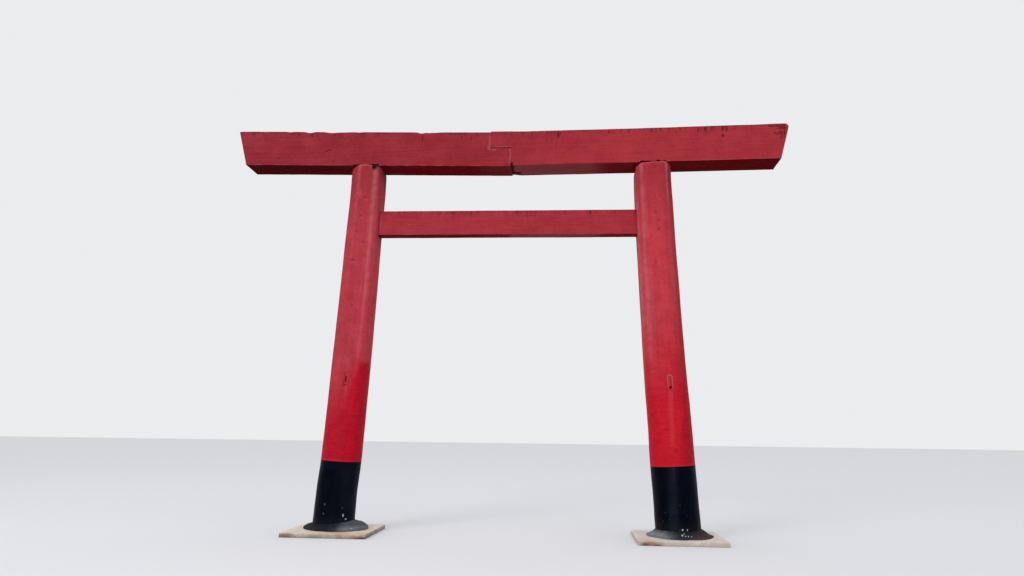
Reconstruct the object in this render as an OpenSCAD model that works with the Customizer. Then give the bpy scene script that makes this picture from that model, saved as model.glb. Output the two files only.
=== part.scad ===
// Torii gate of the shinmei kind: two hewn log posts that lean towards each other,
// one heavy top beam in two lapped halves, and a tie beam housed between the posts.
// X runs along the beams, Y through the passage, Z up from the ground.

/* [Gate] */
// Distance between the post centres where they stand on their slabs
post_spacing = 3640; // [3200:10:4400]
// Height of the top beam's underside above the ground, at mid-span
clear_height = 4009; // [3700:1:4600]
// Inward lean of the left post, in degrees
left_lean = 2.96; // [0:0.02:5]
// Inward lean of the right post, in degrees
right_lean = 2.78; // [0:0.02:5]

/* [Top beam] */
// Height of the top beam
beam_h = 394; // [320:2:460]
// Depth of the top beam, front to back
beam_d = 328; // [280:2:340]
// Half of the top beam's length, along its upper edge
beam_reach = 3120; // [2700:10:3600]
// How far each beam end slopes inwards on its way down
end_slant = 105; // [0:5:200]
// Outward rise of each half, in degrees
beam_rise = 0.96; // [0:0.02:2]
// Chamfer along the top beam's long edges
beam_chamfer = 6; // [2:1:15]
// Depth of the hollows that the adze left in the top of the left half
hollow_depth = 9; // [2:1:14]
// Length of the two long hollows
hollow_l = 400; // [300:10:500]
// Length of the short hollow between them and the beam's end
short_hollow_l = 150; // [100:10:200]
// Distance of the first long hollow from mid-span
hollow_1_x = 910; // [700:10:1200]
// Distance of the second long hollow from mid-span
hollow_2_x = 1950; // [1700:10:2000]
// Distance of the short hollow from mid-span
short_hollow_x = 2270; // [2260:10:2600]

/* [Lap of the top beam] */
// Where the upper step of the lap stands, left of mid-span
lap_upper_x = 191; // [120:1:260]
// Where the lower step of the lap stands, right of mid-span
lap_lower_x = 40; // [10:1:100]
// Height of the lap's seat above the beam's underside
lap_seat = 205; // [150:1:240]
// Open joint at the two steps of the lap
lap_gap = 4; // [1:0.5:8]
// How much higher the right half lies than the left one
right_lift = 6; // [0:1:10]
// Radius of the rounded lower corner of the left half's tongue
tongue_round = 38; // [10:1:60]
// Width of the chip along the right half's lower corner at the lap
chip_w = 26; // [10:1:50]
// Height of that chip
chip_h = 24; // [10:1:50]
// Width of the larger chip at the back of the beam
back_chip_w = 105; // [60:5:150]
// Depth of the larger chip, from the back of the beam
back_chip_d = 95; // [60:5:150]

/* [Tie beam] */
// Height of the tie beam's underside above the ground
tie_z = 3233; // [2900:1:3500]
// Height of the tie beam
tie_h = 280; // [220:2:340]
// Depth of the tie beam, front to back
tie_d = 148; // [110:2:190]
// Chamfer along the tie beam's long edges
tie_chamfer = 5; // [2:1:12]
// How deep the whole tie beam is let into each post
tie_housing = 45; // [20:1:70]
// Length of the tie beam's end tenons
tie_tenon_l = 95; // [60:5:120]
// Height of the tie beam's end tenons
tie_tenon_h = 190; // [120:5:210]
// Thickness of the tie beam's end tenons
tie_tenon_d = 66; // [40:2:90]

/* [Posts] */
// Radius of the left log at its foot
left_foot_r = 220; // [200:1:250]
// Radius of the left log at its head
left_head_r = 193; // [188:1:215]
// Radius of the right log at its foot
right_foot_r = 232; // [215:1:260]
// Radius of the right log at its head
right_head_r = 226; // [215:1:240]
// Width of the flats hewn on the front and back of the left post
left_face_w = 186; // [140:2:220]
// Width of the flats hewn on the front and back of the right post
right_face_w = 280; // [220:2:300]
// How far the left post's front and back flats are turned about its axis, in degrees
left_face_turn = 8; // [0:1:15]
// How far the right post's front and back flats are turned about its axis, in degrees
right_face_turn = 0; // [0:1:15]
// Height along the post at which those flats start to run out into the round foot
face_low_z = 1500; // [1300:20:2200]
// Distance of the side flats from the axis, at the left post's head
left_side_flat = 160; // [150:1:180]
// Distance of the side flats from the axis, at the right post's head
right_side_flat = 179; // [170:1:200]
// Length down the left post over which its side flats run out
left_side_run = 2000; // [1400:20:3000]
// Length down the right post over which its side flats run out
right_side_run = 3200; // [2000:20:3240]
// How deep each post's head is let into the top beam
head_housing = 8; // [4:1:20]
// Width and depth of the tenon on each post's head
head_tenon_w = 110; // [70:2:150]
// Height of the tenon on each post's head
head_tenon_h = 150; // [80:5:180]
// Width and depth of the tenon under each post's foot
foot_tenon_w = 120; // [80:2:160]
// Height of the tenon under each post's foot
foot_tenon_h = 25; // [15:1:30]

/* [Feet] */
// Height of the black root band, along the post
band_h = 706; // [500:2:900]
// Thickness of the root band's sheet
band_t = 3; // [2:0.5:5]
// Radius of the mortar collar's rim
collar_r = 338; // [300:1:400]
// Height of the mortar collar at the post
collar_h = 70; // [30:1:90]
// Thickness of the mortar collar at its rim
collar_rim = 12; // [6:1:20]
// Width of the collar's level top beside the post
collar_lip = 14; // [6:1:25]
// Width of each base slab
slab_w = 890; // [820:10:1000]
// Thickness of each base slab
slab_t = 45; // [40:1:100]
// How far each slab's centre lies inwards of its post's foot
slab_inset = 15; // [0:5:40]
// Chamfer along the top edges of each slab
slab_chamfer = 8; // [3:1:15]

/* [Patches] */
// Width of the patch let into the front of each post
patch_w = 66; // [56:1:84]
// Height of the patch, with its round top
patch_h = 163; // [120:1:220]
// Thickness of the patch
patch_t = 32; // [28:1:45]
// Height of the patch's lower end above the slab, along the post
patch_z = 1492; // [1200:4:1800]
// How far the left patch stands inwards of its post's axis
left_patch_in = 28; // [-40:2:40]
// How far the right patch stands inwards of its post's axis
right_patch_in = 0; // [-40:2:40]
// Width of the rim that runs round the patch's sides and top
patch_rim_w = 12; // [8:1:14]
// Depth of the recess inside the rim
patch_recess = 6; // [4:1:14]
// Radius of the hole at the recess's lower end
patch_hole_r = 12; // [6:1:13]
// Height of the hole's centre above the patch's lower end
patch_hole_z = 23; // [15:1:40]
// Wood left behind the hole
patch_back_wall = 8; // [4:1:12]

/* [Clearances] */
// Play round each tenon and housing
joint_play = 1; // [0.5:0.5:3]
// Play between the root band and the log, and between the band and its collar
band_play = 0.5; // [0.3:0.1:1]

/* [Hidden] */

LEFT = -1;
RIGHT = 1;
timber_red = "#a02e3b";
band_black = "#14161f";
mortar_grey = "#4a4c57";
slab_stone = "#c9bcae";
curve_fn = 96;
overrun = 300;
far = 2 * beam_reach;
post_l = clear_height - slab_t;
// Overlap that makes a tenon one solid with its post
bite = 1;
// Height above the root band at which the front and back flats end
face_margin = 50;
// How sharply the collar's hollow flare turns up, and in how many steps
collar_curve = 1.5;
collar_steps = 6;

function foot_r(side) = side == LEFT ? left_foot_r : right_foot_r;
function head_r(side) = side == LEFT ? left_head_r : right_head_r;
function face_w(side) = side == LEFT ? left_face_w : right_face_w;
function face_turn(side) = side == LEFT ? left_face_turn : right_face_turn;
function side_flat(side) = side == LEFT ? left_side_flat : right_side_flat;
function side_run(side) = side == LEFT ? left_side_run : right_side_run;
function lean(side) = side == LEFT ? left_lean : right_lean;
function lift(side) = side == LEFT ? 0 : right_lift;
function patch_in(side) = side == LEFT ? left_patch_in : right_patch_in;

// Radius of the round that leaves a hollow of this length
function hollow_r(length) = (pow(length / 2, 2) + pow(hollow_depth, 2)) / (2 * hollow_depth);

// Radius of the whole log at a distance along its axis from the slab
function log_r(side, along) = foot_r(side) + (head_r(side) - foot_r(side)) * along / post_l;

// Distance of the front and back flats from the axis, where they have their whole width
function face_flat(side, along) = sqrt(pow(log_r(side, along), 2) - pow(face_w(side) / 2, 2));

// Distance of a post's axis from mid-span, at a height above the ground
function axis_x(side, z) = post_spacing / 2 - (z - slab_t) * tan(lean(side));

// Distance from mid-span at which the axis of a post meets the underside of the top beam
function head_x(side) = axis_x(side, clear_height);

// Places its children in the leaning frame of one post
module at_post(side) {
    translate([side * post_spacing / 2, 0, slab_t])
        rotate([0, -side * lean(side), 0])
            children();
}

// Places its children in the frame of one half of the top beam, whose underside is z = 0
module at_beam(side) {
    translate([0, 0, clear_height + lift(side)])
        rotate([0, -side * beam_rise, 0])
            children();
}

// A bar along X with chamfered long edges, its underside at z = 0
module chamfered_bar(length, depth, height, chamfer) {
    y = depth / 2;
    rotate([90, 0, 90])
        linear_extrude(height = length, center = true)
            polygon([[-y + chamfer, 0], [y - chamfer, 0], [y, chamfer], [y, height - chamfer],
                     [y - chamfer, height], [-y + chamfer, height], [-y, height - chamfer], [-y, chamfer]]);
}

// A plate in the XZ plane, extruded evenly to both sides of Y = 0
module upright_plate(points, depth) {
    rotate([90, 0, 0])
        linear_extrude(height = depth, center = true)
            polygon(points);
}

// One half of the top beam before its lap is cut: sloping bar with a slanted end
module beam_blank(side) {
    low = beam_reach - end_slant;
    inner = -lap_upper_x - overrun;
    over = beam_h + overrun;
    slope = end_slant / beam_h;
    at_beam(side)
        intersection() {
            chamfered_bar(far * 2, beam_d, beam_h, beam_chamfer);
            upright_plate([[side * inner, -overrun], [side * (low - slope * overrun), -overrun],
                           [side * (low + slope * over), over], [side * inner, over]], 2 * beam_d);
        }
}

// What the lap takes away from one half: the other half's side of the stepped joint
module lap_cutter(side) {
    upper = -lap_upper_x + side * lap_gap / 2;
    lower = lap_lower_x + side * lap_gap / 2;
    seat = clear_height + lap_seat;
    top = clear_height + beam_h + overrun;
    bottom = clear_height - overrun;
    out = -side * far;
    upright_plate([[upper, top], [upper, seat], [lower, seat], [lower, bottom], [out, bottom], [out, top]],
                  2 * beam_d);
}

// Housing and mortise that one post's head needs in the top beam
module head_seat(side) {
    width = 2 * (side_flat(side) + joint_play);
    at_beam(side)
        translate([side * head_x(side) - width / 2, -beam_d, -overrun])
            cube([width, 2 * beam_d, overrun + head_housing]);
    head_tenon(side, joint_play);
}

// Square tenon that stands on one post's head, with play for its mortise
module head_tenon(side, play) {
    width = head_tenon_w + 2 * play;
    at_beam(side)
        translate([side * head_x(side) - width / 2, -width / 2, -bite])
            cube([width, width, bite + head_housing + head_tenon_h + play]);
}

// One shallow hollow that the adze left across the top of the left half
module adze_hollow(place, length) {
    radius = hollow_r(length);
    at_beam(LEFT)
        translate([-place, 0, beam_h - hollow_depth + radius])
            rotate([90, 0, 0])
                cylinder(r = radius, h = 2 * beam_d, center = true, $fn = 4 * curve_fn);
}

// What the rounded lower corner of the left half's tongue lacks
module tongue_corner() {
    edge = lap_lower_x - lap_gap / 2;
    translate([edge - tongue_round, 0, clear_height])
        rotate([90, 0, 0])
            linear_extrude(height = 2 * beam_d, center = true)
                difference() {
                    translate([0, -overrun])
                        square([overrun, overrun + tongue_round]);
                    translate([0, tongue_round])
                        circle(r = tongue_round, $fn = curve_fn);
                }
}

// Chip along the right half's lower corner, wider at the back of the beam
module lap_chip() {
    edge = lap_lower_x + lap_gap / 2;
    under = clear_height + right_lift;
    translate([edge, 0, under])
        upright_plate([[-overrun, -overrun], [chip_w, -overrun], [chip_w, 0], [0, chip_h],
                       [-overrun, chip_h]], 2 * beam_d);
    translate([edge, beam_d - back_chip_d, under])
        upright_plate([[-overrun, -overrun], [back_chip_w, -overrun], [back_chip_w, 0], [0, chip_h],
                       [-overrun, chip_h]], beam_d);
}

module kasagi_left() {
    color(timber_red)
        difference() {
            beam_blank(LEFT);
            lap_cutter(LEFT);
            head_seat(LEFT);
            adze_hollow(hollow_1_x, hollow_l);
            adze_hollow(hollow_2_x, hollow_l);
            adze_hollow(short_hollow_x, short_hollow_l);
            tongue_corner();
        }
}

module kasagi_right() {
    color(timber_red)
        difference() {
            beam_blank(RIGHT);
            lap_cutter(RIGHT);
            head_seat(RIGHT);
            lap_chip();
        }
}

// Distance from a post's axis to the tie beam's shoulder in its housing
function shoulder(side) = side_flat(side) - tie_housing;

// Where one end of the tie beam lies at a height; reach is the length beyond the shoulder
function tie_end(side, z, reach) = side * (axis_x(side, z) - shoulder(side) + reach);

// One level of the tie beam: it ends at a set distance beyond the two shoulders
module tie_level(low, height, depth, reach, play) {
    z0 = low - play;
    z1 = low + height + play;
    more = reach + play;
    upright_plate([[tie_end(LEFT, z0, more), z0], [tie_end(RIGHT, z0, more), z0],
                   [tie_end(RIGHT, z1, more), z1], [tie_end(LEFT, z1, more), z1]], depth + 2 * play);
}

// The tie beam with its two end tenons; play makes it the cutter for the posts' mortises
module tie_body(play) {
    tenon_low = tie_z + (tie_h - tie_tenon_h) / 2;
    tie_level(tie_z, tie_h, tie_d, 0, play);
    tie_level(tenon_low, tie_tenon_h, tie_tenon_d, tie_tenon_l, play);
}

module nuki() {
    color(timber_red)
        intersection() {
            tie_body(0);
            translate([0, 0, tie_z])
                chamfered_bar(post_spacing, tie_d, tie_h, tie_chamfer);
        }
}

// The round log in its own leaning frame, longer than the post at both ends
module log_body(side, shrink) {
    low = -overrun;
    high = post_l + overrun;
    translate([0, 0, low])
        cylinder(r1 = log_r(side, low) - shrink, r2 = log_r(side, high) - shrink, h = high - low,
                 $fn = curve_fn);
}

// Wood outside a hewn flat whose outline is given as distances from the axis and heights
module flat_cut(turn, outline) {
    rotate([90, 0, turn])
        linear_extrude(height = 2 * overrun, center = true)
            polygon(outline);
}

// What is hewn off one side of a post: a plane that leaves the log further down
module side_cut(side, turn) {
    low = post_l - side_run(side);
    slope = (log_r(side, low) - side_flat(side)) / side_run(side);
    flat_cut(turn, [[side_flat(side) - slope * overrun, post_l + overrun],
                    [log_r(side, low) + slope * overrun, low - overrun],
                    [2 * overrun, low - overrun], [2 * overrun, post_l + overrun]]);
}

// What is hewn off the front or back of a post: a flat of even width that runs out above the band
module face_cut(side, turn) {
    low = band_h + face_margin;
    flat = face_flat(side, face_low_z);
    slope = (log_r(side, low) - flat) / (face_low_z - low);
    flat_cut(turn, [[face_flat(side, post_l), post_l + overrun], [face_flat(side, post_l), post_l],
                    [flat, face_low_z], [log_r(side, low) + slope * face_margin, band_h],
                    [2 * overrun, band_h], [2 * overrun, post_l + overrun]]);
}

// The log with its four hewn flats
module hewn_log(side) {
    difference() {
        log_body(side, 0);
        for (turn = [90, 270])
            face_cut(side, turn + face_turn(side));
        for (turn = [0, 180])
            side_cut(side, turn);
    }
}

// Rebate round the foot of the log that the root band fills
module band_rebate(side) {
    difference() {
        translate([0, 0, -overrun])
            cylinder(r = foot_r(side) + overrun, h = band_h + overrun, $fn = curve_fn);
        log_body(side, band_t);
    }
}

// Slot with a round top, cut into the front of a post from a distance before its axis;
// it is wider than the patch by grow, and starts by foot below the patch's lower end
module patch_slot(side, from, grow, foot) {
    half = patch_w / 2 + grow;
    centre = patch_h - patch_w / 2;
    translate([-side * patch_in(side), -from, patch_z])
        rotate([90, 0, 0])
            linear_extrude(height = overrun) {
                translate([-half, -foot])
                    square([2 * half, centre + foot]);
                translate([0, centre])
                    circle(r = half, $fn = curve_fn / 2);
            }
}

// Distance from a post's axis to the face of its patch, and to the patch's back
function patch_face(side) = face_flat(side, patch_z + patch_h);
function patch_back(side) = patch_face(side) - patch_t;

module post(side) {
    difference() {
        union() {
            difference() {
                at_post(side)
                    difference() {
                        hewn_log(side);
                        band_rebate(side);
                        patch_slot(side, patch_back(side), joint_play, joint_play);
                    }
                translate([-far, -far, slab_t - 2 * overrun])
                    cube([2 * far, 2 * far, 2 * overrun]);
                at_beam(side)
                    translate([-far, -far, head_housing])
                        cube([2 * far, 2 * far, 2 * overrun]);
            }
            head_tenon(side, 0);
            foot_tenon(side, 0);
        }
        tie_body(joint_play);
    }
}

// Square tenon under one post's foot, with play for its socket in the slab
module foot_tenon(side, play) {
    width = foot_tenon_w + 2 * play;
    height = foot_tenon_h + play;
    translate([side * post_spacing / 2 - width / 2, -width / 2, slab_t - height])
        cube([width, width, height + bite]);
}

module post_left() {
    color(timber_red)
        post(LEFT);
}

module post_right() {
    color(timber_red)
        post(RIGHT);
}

// Black sheet sleeve let flush into the foot of the log
module root_band(side) {
    color(band_black)
        difference() {
            at_post(side)
                difference() {
                    intersection() {
                        log_body(side, 0);
                        translate([0, 0, -overrun])
                            cylinder(r = foot_r(side) + overrun, h = band_h + overrun, $fn = curve_fn);
                    }
                    log_body(side, band_t - band_play);
                }
            translate([-far, -far, slab_t - 2 * overrun])
                cube([2 * far, 2 * far, 2 * overrun]);
        }
}

module root_band_left() {
    root_band(LEFT);
}

module root_band_right() {
    root_band(RIGHT);
}

// Flared mortar collar that sheds water from the foot of the post
module foot_collar(side) {
    inner = foot_r(side) + collar_lip;
    core = foot_r(side) / 2;
    color(mortar_grey)
        difference() {
            translate([side * post_spacing / 2, 0, slab_t])
                rotate_extrude($fn = curve_fn)
                    polygon(concat([[core, 0], [collar_r, 0]],
                                   [for (i = [0:collar_steps])
                                       let (t = i / collar_steps)
                                       [collar_r + (inner - collar_r) * t,
                                        collar_rim + (collar_h - collar_rim) * pow(t, collar_curve)]],
                                   [[core, collar_h]]));
            at_post(side)
                log_body(side, -band_play);
        }
}

module foot_collar_left() {
    foot_collar(LEFT);
}

module foot_collar_right() {
    foot_collar(RIGHT);
}

// Square stone slab with chamfered top edges and a socket for the post's foot
module base_slab(side) {
    edge = slab_chamfer * sqrt(2);
    centre = side * (post_spacing / 2 - slab_inset);
    color(slab_stone)
        difference() {
            translate([centre, 0, slab_t / 2])
                cube([slab_w, slab_w, slab_t], center = true);
            for (turn = [0:90:270])
                translate([centre, 0, slab_t])
                    rotate([0, 0, turn])
                        translate([slab_w / 2, 0, 0])
                            rotate([0, 45, 0])
                                cube([edge, 2 * slab_w, edge], center = true);
            foot_tenon(side, joint_play);
        }
}

module base_slab_left() {
    base_slab(LEFT);
}

module base_slab_right() {
    base_slab(RIGHT);
}

// Patch let into the front of a post: a rim flush with the log round a recess with a hole
module patch(side) {
    color(timber_red)
        at_post(side)
            difference() {
                intersection() {
                    hewn_log(side);
                    patch_slot(side, patch_back(side), 0, 0);
                }
                patch_slot(side, patch_face(side) - patch_recess, -patch_rim_w, overrun);
                translate([-side * patch_in(side), -patch_back(side) - patch_back_wall,
                           patch_z + patch_hole_z])
                    rotate([90, 0, 0])
                        cylinder(r = patch_hole_r, h = overrun, $fn = curve_fn / 4);
            }
}

module patch_left() {
    patch(LEFT);
}

module patch_right() {
    patch(RIGHT);
}

kasagi_left();
kasagi_right();
nuki();
post_left();
post_right();
root_band_left();
root_band_right();
foot_collar_left();
foot_collar_right();
base_slab_left();
base_slab_right();
patch_left();
patch_right();
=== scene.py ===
"""Looks of a shinmei torii gate: hewn, oil-painted cypress logs and beams on stone slabs."""
import math

import bmesh
import bpy
import numpy as np
from mathutils import Matrix, Vector


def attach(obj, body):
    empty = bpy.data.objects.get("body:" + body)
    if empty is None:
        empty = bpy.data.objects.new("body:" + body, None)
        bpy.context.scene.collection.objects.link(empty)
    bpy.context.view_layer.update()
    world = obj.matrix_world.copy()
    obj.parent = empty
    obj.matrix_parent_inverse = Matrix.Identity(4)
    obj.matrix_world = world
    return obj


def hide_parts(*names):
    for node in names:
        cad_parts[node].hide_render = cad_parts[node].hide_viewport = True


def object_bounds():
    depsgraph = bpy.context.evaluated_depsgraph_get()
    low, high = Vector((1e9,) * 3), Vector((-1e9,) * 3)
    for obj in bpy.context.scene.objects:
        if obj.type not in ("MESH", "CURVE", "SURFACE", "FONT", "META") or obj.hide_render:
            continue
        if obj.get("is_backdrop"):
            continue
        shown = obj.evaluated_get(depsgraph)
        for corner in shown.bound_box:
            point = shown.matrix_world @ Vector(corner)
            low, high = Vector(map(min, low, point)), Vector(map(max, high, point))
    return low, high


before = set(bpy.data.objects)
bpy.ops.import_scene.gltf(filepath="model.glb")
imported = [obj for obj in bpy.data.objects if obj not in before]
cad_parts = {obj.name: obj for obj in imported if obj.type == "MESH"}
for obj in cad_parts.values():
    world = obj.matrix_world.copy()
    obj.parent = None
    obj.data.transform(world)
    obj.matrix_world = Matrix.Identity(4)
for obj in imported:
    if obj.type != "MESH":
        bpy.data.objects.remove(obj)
cad_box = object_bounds()

# Main sizes in metres, as the CAD source has them
POST_SPACING = 3.640
CLEAR_HEIGHT = 4.009
SLAB_T = 0.045
SLAB_W = 0.890
SLAB_INSET = 0.015
BEAM_H = 0.394
BEAM_D = 0.328
BEAM_REACH = 3.120
BEAM_RISE = math.tan(math.radians(0.96))
END_SLANT = 0.105
LAP_UPPER_X = -0.191
LAP_LOWER_X = 0.040
LAP_SEAT = 0.213
LAP_GAP = 0.0015
RIGHT_LIFT = 0.006
TIE_Z = 3.2425
TIE_H = 0.280
TIE_D = 0.158
BAND_H = 0.706
BAND_T = 0.003
HEAD_HOUSING = 0.008
HEAD_GAP = 0.003
# How much narrower a post's head is, by the distance below its end
HEAD_ROUND = [(0, 0.042), (0.008, 0.030), (0.020, 0.018), (0.040, 0.006), (0.080, 0.0)]
TAPER_LENGTH = CLEAR_HEIGHT - SLAB_T
PATCH_W = 0.066
PATCH_H = 0.163
PATCH_T = 0.032
PATCH_RIM = 0.012
PATCH_HOLE_Z = 0.023
PATCH_PLAY = 0.001
TIE_PLAY = 0.002
# Gap between the grid lines on beams and slabs, and how far from an arris the first line runs
GRID = 0.0105
ARRIS = 0.012
SLIM_ARRIS = 0.010

# The two posts: lean and turn of the hewn faces in degrees, log radii, and lengths that change
# up the log, as (metres up, metres): distances of the flats from the axis, how far the log bows
# inwards and how much it swells. Gaps over the head are (across from, across to, height at the one,
# height at the other), a chip of the head is (across from, across to, how deep), and the head may end
# lower than the beam needs, or tilted. A patch may have a slit: (half width, from, to, how deep).
# Round the foot the collar has its rim, the rim's thickness, its height and the power of its flare,
# as (degrees, metres) or (degrees, power)
POSTS = {
    "left": dict(
        side=-1, lift=0.0, lean=2.96, foot_r=0.220, head_r=0.193, face_turn=8, grain_seed=3.0,
        face_flat=[(0, 0.300), (0.6, 0.228), (0.756, 0.2165), (1.1, 0.2055), (1.5, 0.1925),
                   (2.5, 0.1810), (3.1, 0.1825), (3.6, 0.1830), (4.1, 0.1820)],
        side_flat=[(0, 0.300), (2.0, 0.216), (2.2, 0.2085), (2.9, 0.193), (3.1, 0.184),
                   (3.3, 0.1795), (3.6, 0.1765), (4.1, 0.1755)],
        bow=[(0, -0.001), (0.32, 0.000), (0.52, 0.006), (0.80, 0.015), (1.28, 0.018), (2.0, 0.0185),
             (2.48, 0.018), (2.8, 0.0165), (3.05, 0.015), (3.3, 0.0155), (3.64, 0.0145), (3.88, 0.009),
             (4.1, 0.005)],
        swell=[(0, 0.001), (0.35, -0.002), (0.47, 0.0), (1.0, 0.001), (1.5, 0.002), (2.0, 0.003),
               (2.6, 0.003), (2.9, 0.0045), (3.1, 0.008), (3.4, 0.0095), (4.0, 0.012), (4.1, 0.012)],
        gaps=[(-0.150, -0.060, 0.004, 0.010), (-0.060, -0.020, 0.010, 0.002), (0.035, 0.150, 0.008, 0.012)],
        chip=(0.082, 0.116, 0.052), drop=0.0, tilt=0.0,
        patch_x=-1.710, patch_foot=1.492, patch_recess=0.0015, hole_r=0.008,
        slit=(0.009, 0.056, 0.118, 0.024),
        rim=[(-180, 0.325), (-150, 0.292), (-125, 0.276), (-95, 0.290), (-65, 0.325), (-35, 0.362),
             (-5, 0.374), (25, 0.366), (60, 0.345), (100, 0.334), (140, 0.331), (180, 0.325)],
        edge=[(-180, 0.006), (-110, 0.009), (-75, 0.015), (-20, 0.020), (20, 0.014), (60, 0.009),
              (180, 0.006)],
        lip=[(-180, 0.058), (-120, 0.062), (-80, 0.070), (-45, 0.084), (-12, 0.096), (20, 0.088), (80, 0.068),
             (180, 0.058)],
        flare=[(-180, 0.5), (-120, 0.8), (-80, 1.1), (-40, 0.6), (-5, 0.4), (40, 0.6), (90, 1.0),
               (180, 0.5)]),
    "right": dict(
        side=1, lift=RIGHT_LIFT, lean=2.78, foot_r=0.232, head_r=0.226, face_turn=0, grain_seed=8.0,
        face_flat=[(0, 0.320), (0.6, 0.245), (0.756, 0.2325), (1.1, 0.2080), (1.5, 0.1785),
                   (2.5, 0.1810), (3.3, 0.1815), (4.1, 0.1820)],
        side_flat=[(0, 0.320), (0.6, 0.248), (0.75, 0.236), (1.0, 0.228), (1.5, 0.220), (1.83, 0.2135),
                   (2.2, 0.2085), (2.6, 0.207), (2.9, 0.2025), (3.16, 0.2015), (3.4, 0.200), (3.86, 0.195),
                   (4.1, 0.1925)],
        bow=[(0, 0.004), (0.32, 0.006), (0.48, 0.008), (0.80, 0.013), (1.02, 0.0135), (1.27, 0.0155),
             (1.6, 0.022), (2.2, 0.0245), (2.6, 0.022), (3.07, 0.0215), (3.4, 0.0165), (3.72, 0.013),
             (4.0, 0.003), (4.1, 0.001)],
        swell=[(0, 0.002), (0.174, 0.002), (0.334, -0.001), (0.455, 0.0), (0.8, 0.002), (1.0, 0.001),
               (1.5, 0.002), (1.8, 0.004), (2.3, 0.005), (4.1, 0.005)],
        gaps=[(-0.150, 0.005, 0.009, 0.004), (0.025, 0.050, 0.004, 0.018), (0.050, 0.075, 0.018, 0.004),
              (0.105, 0.135, 0.006, 0.010)],
        chip=None, drop=0.008, tilt=0.045,
        patch_x=1.743, patch_foot=1.492, patch_recess=0.005, hole_r=0.014, slit=None,
        rim=[(-180, 0.335), (-157, 0.330), (-134, 0.328), (-117, 0.343), (-104, 0.352), (-88, 0.345),
             (-71, 0.336), (-56, 0.348), (-43, 0.347), (-13, 0.345), (7, 0.350), (45, 0.346),
             (90, 0.334), (135, 0.334), (180, 0.335)],
        edge=[(-180, 0.009), (180, 0.009)],
        lip=[(-180, 0.066), (-90, 0.070), (0, 0.070), (90, 0.068), (180, 0.066)],
        flare=[(-180, 1.5), (-90, 1.3), (0, 1.3), (90, 1.5), (180, 1.5)]),
}

# Camera at the photograph's viewing angle
FOCAL_PIXELS = 768.9
IMAGE_WIDTH_PIXELS = 1024
SENSOR_MM = 36
CAMERA_PLACE = (0.6505, -8.3755, 1.0934)
CAMERA_TURN, CAMERA_TILT, CAMERA_ROLL = (math.radians(angle) for angle in (4.043, 90 + 10.501, 0.723))
camera = bpy.data.objects.new("camera", bpy.data.cameras.new("camera"))
bpy.context.collection.objects.link(camera)
camera.data.sensor_width = SENSOR_MM
camera.data.lens = FOCAL_PIXELS / IMAGE_WIDTH_PIXELS * SENSOR_MM
camera.matrix_world = (Matrix.Translation(CAMERA_PLACE) @ Matrix.Rotation(CAMERA_TURN, 4, "Z")
                       @ Matrix.Rotation(CAMERA_TILT, 4, "X") @ Matrix.Rotation(CAMERA_ROLL, 4, "Z"))
bpy.context.scene.camera = camera
bpy.context.scene.view_settings.view_transform = "Standard"


def paint(code):
    """Linear colour of an sRGB hex value."""
    parts = [int(code[i:i + 2], 16) / 255 for i in (1, 3, 5)]
    return [p / 12.92 if p <= 0.04045 else ((p + 0.055) / 1.055) ** 2.4 for p in parts] + [1.0]


def plug(tree, node, values):
    """Gives a node's sockets their values: nodes and sockets are linked, numbers and colours are set."""
    for key, value in values.items():
        if isinstance(value, bpy.types.Node):
            value = value.outputs[0]
        if isinstance(value, bpy.types.NodeSocket):
            tree.links.new(value, node.inputs[key])
        else:
            node.inputs[key].default_value = value


def add(tree, kind, *values, into=None, **settings):
    """Adds one node with its settings. Values go to its sockets in order, those in into by name or number."""
    node = tree.nodes.new(kind)
    for name, value in settings.items():
        setattr(node, name, value)
    plug(tree, node, {**dict(enumerate(values)), **(into or {})})
    return node


def diagonal(tree, one, other):
    """Length of the diagonal over two sides."""
    corner = add(tree, "ShaderNodeCombineXYZ", one, other, 0.0)
    return add(tree, "ShaderNodeVectorMath", corner, operation="LENGTH").outputs["Value"]


def measured(tree, value, points):
    """Looks a value up in measured points (where, how much), with smooth steps between them."""
    places, amounts = zip(*points)
    low, high = min(amounts), max(amounts)
    share = add(tree, "ShaderNodeMapRange", value, places[0], places[-1], 0.0, 1.0)
    curve = add(tree, "ShaderNodeFloatCurve", into={"Value": share})
    marks = curve.mapping.curves[0].points
    while len(marks) < len(points):
        marks.new(0.5, 0.5)
    for mark, (where, amount) in zip(marks, points):
        mark.location = ((where - places[0]) / (places[-1] - places[0]), (amount - low) / (high - low))
        mark.handle_type = "AUTO_CLAMPED"
    curve.mapping.update()
    return add(tree, "ShaderNodeMapRange", curve, 0.0, 1.0, low, high)


# Meshes

def new_object(name, vertices, faces):
    """A mesh object at the origin, smooth shaded."""
    mesh = bpy.data.meshes.new(name)
    mesh.from_pydata([tuple(v) for v in vertices], [], [tuple(f) for f in faces])
    mesh.shade_smooth()
    mesh.update()
    obj = bpy.data.objects.new(name, mesh)
    bpy.context.collection.objects.link(obj)
    return obj


def ruler(marks, step):
    """Grid lines through every mark and no further apart than step."""
    lines = [marks[0]]
    for low, high in zip(marks[:-1], marks[1:]):
        count = max(1, math.ceil((high - low) / step - 1e-9))
        lines += list(np.linspace(low, high, count + 1)[1:])
    return np.array(lines)


def edged_ruler(low, high, arris, step=GRID):
    """Grid lines from low to high, with one beside the arris at either end."""
    return ruler([low, low + arris, high - arris, high], step)


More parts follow.
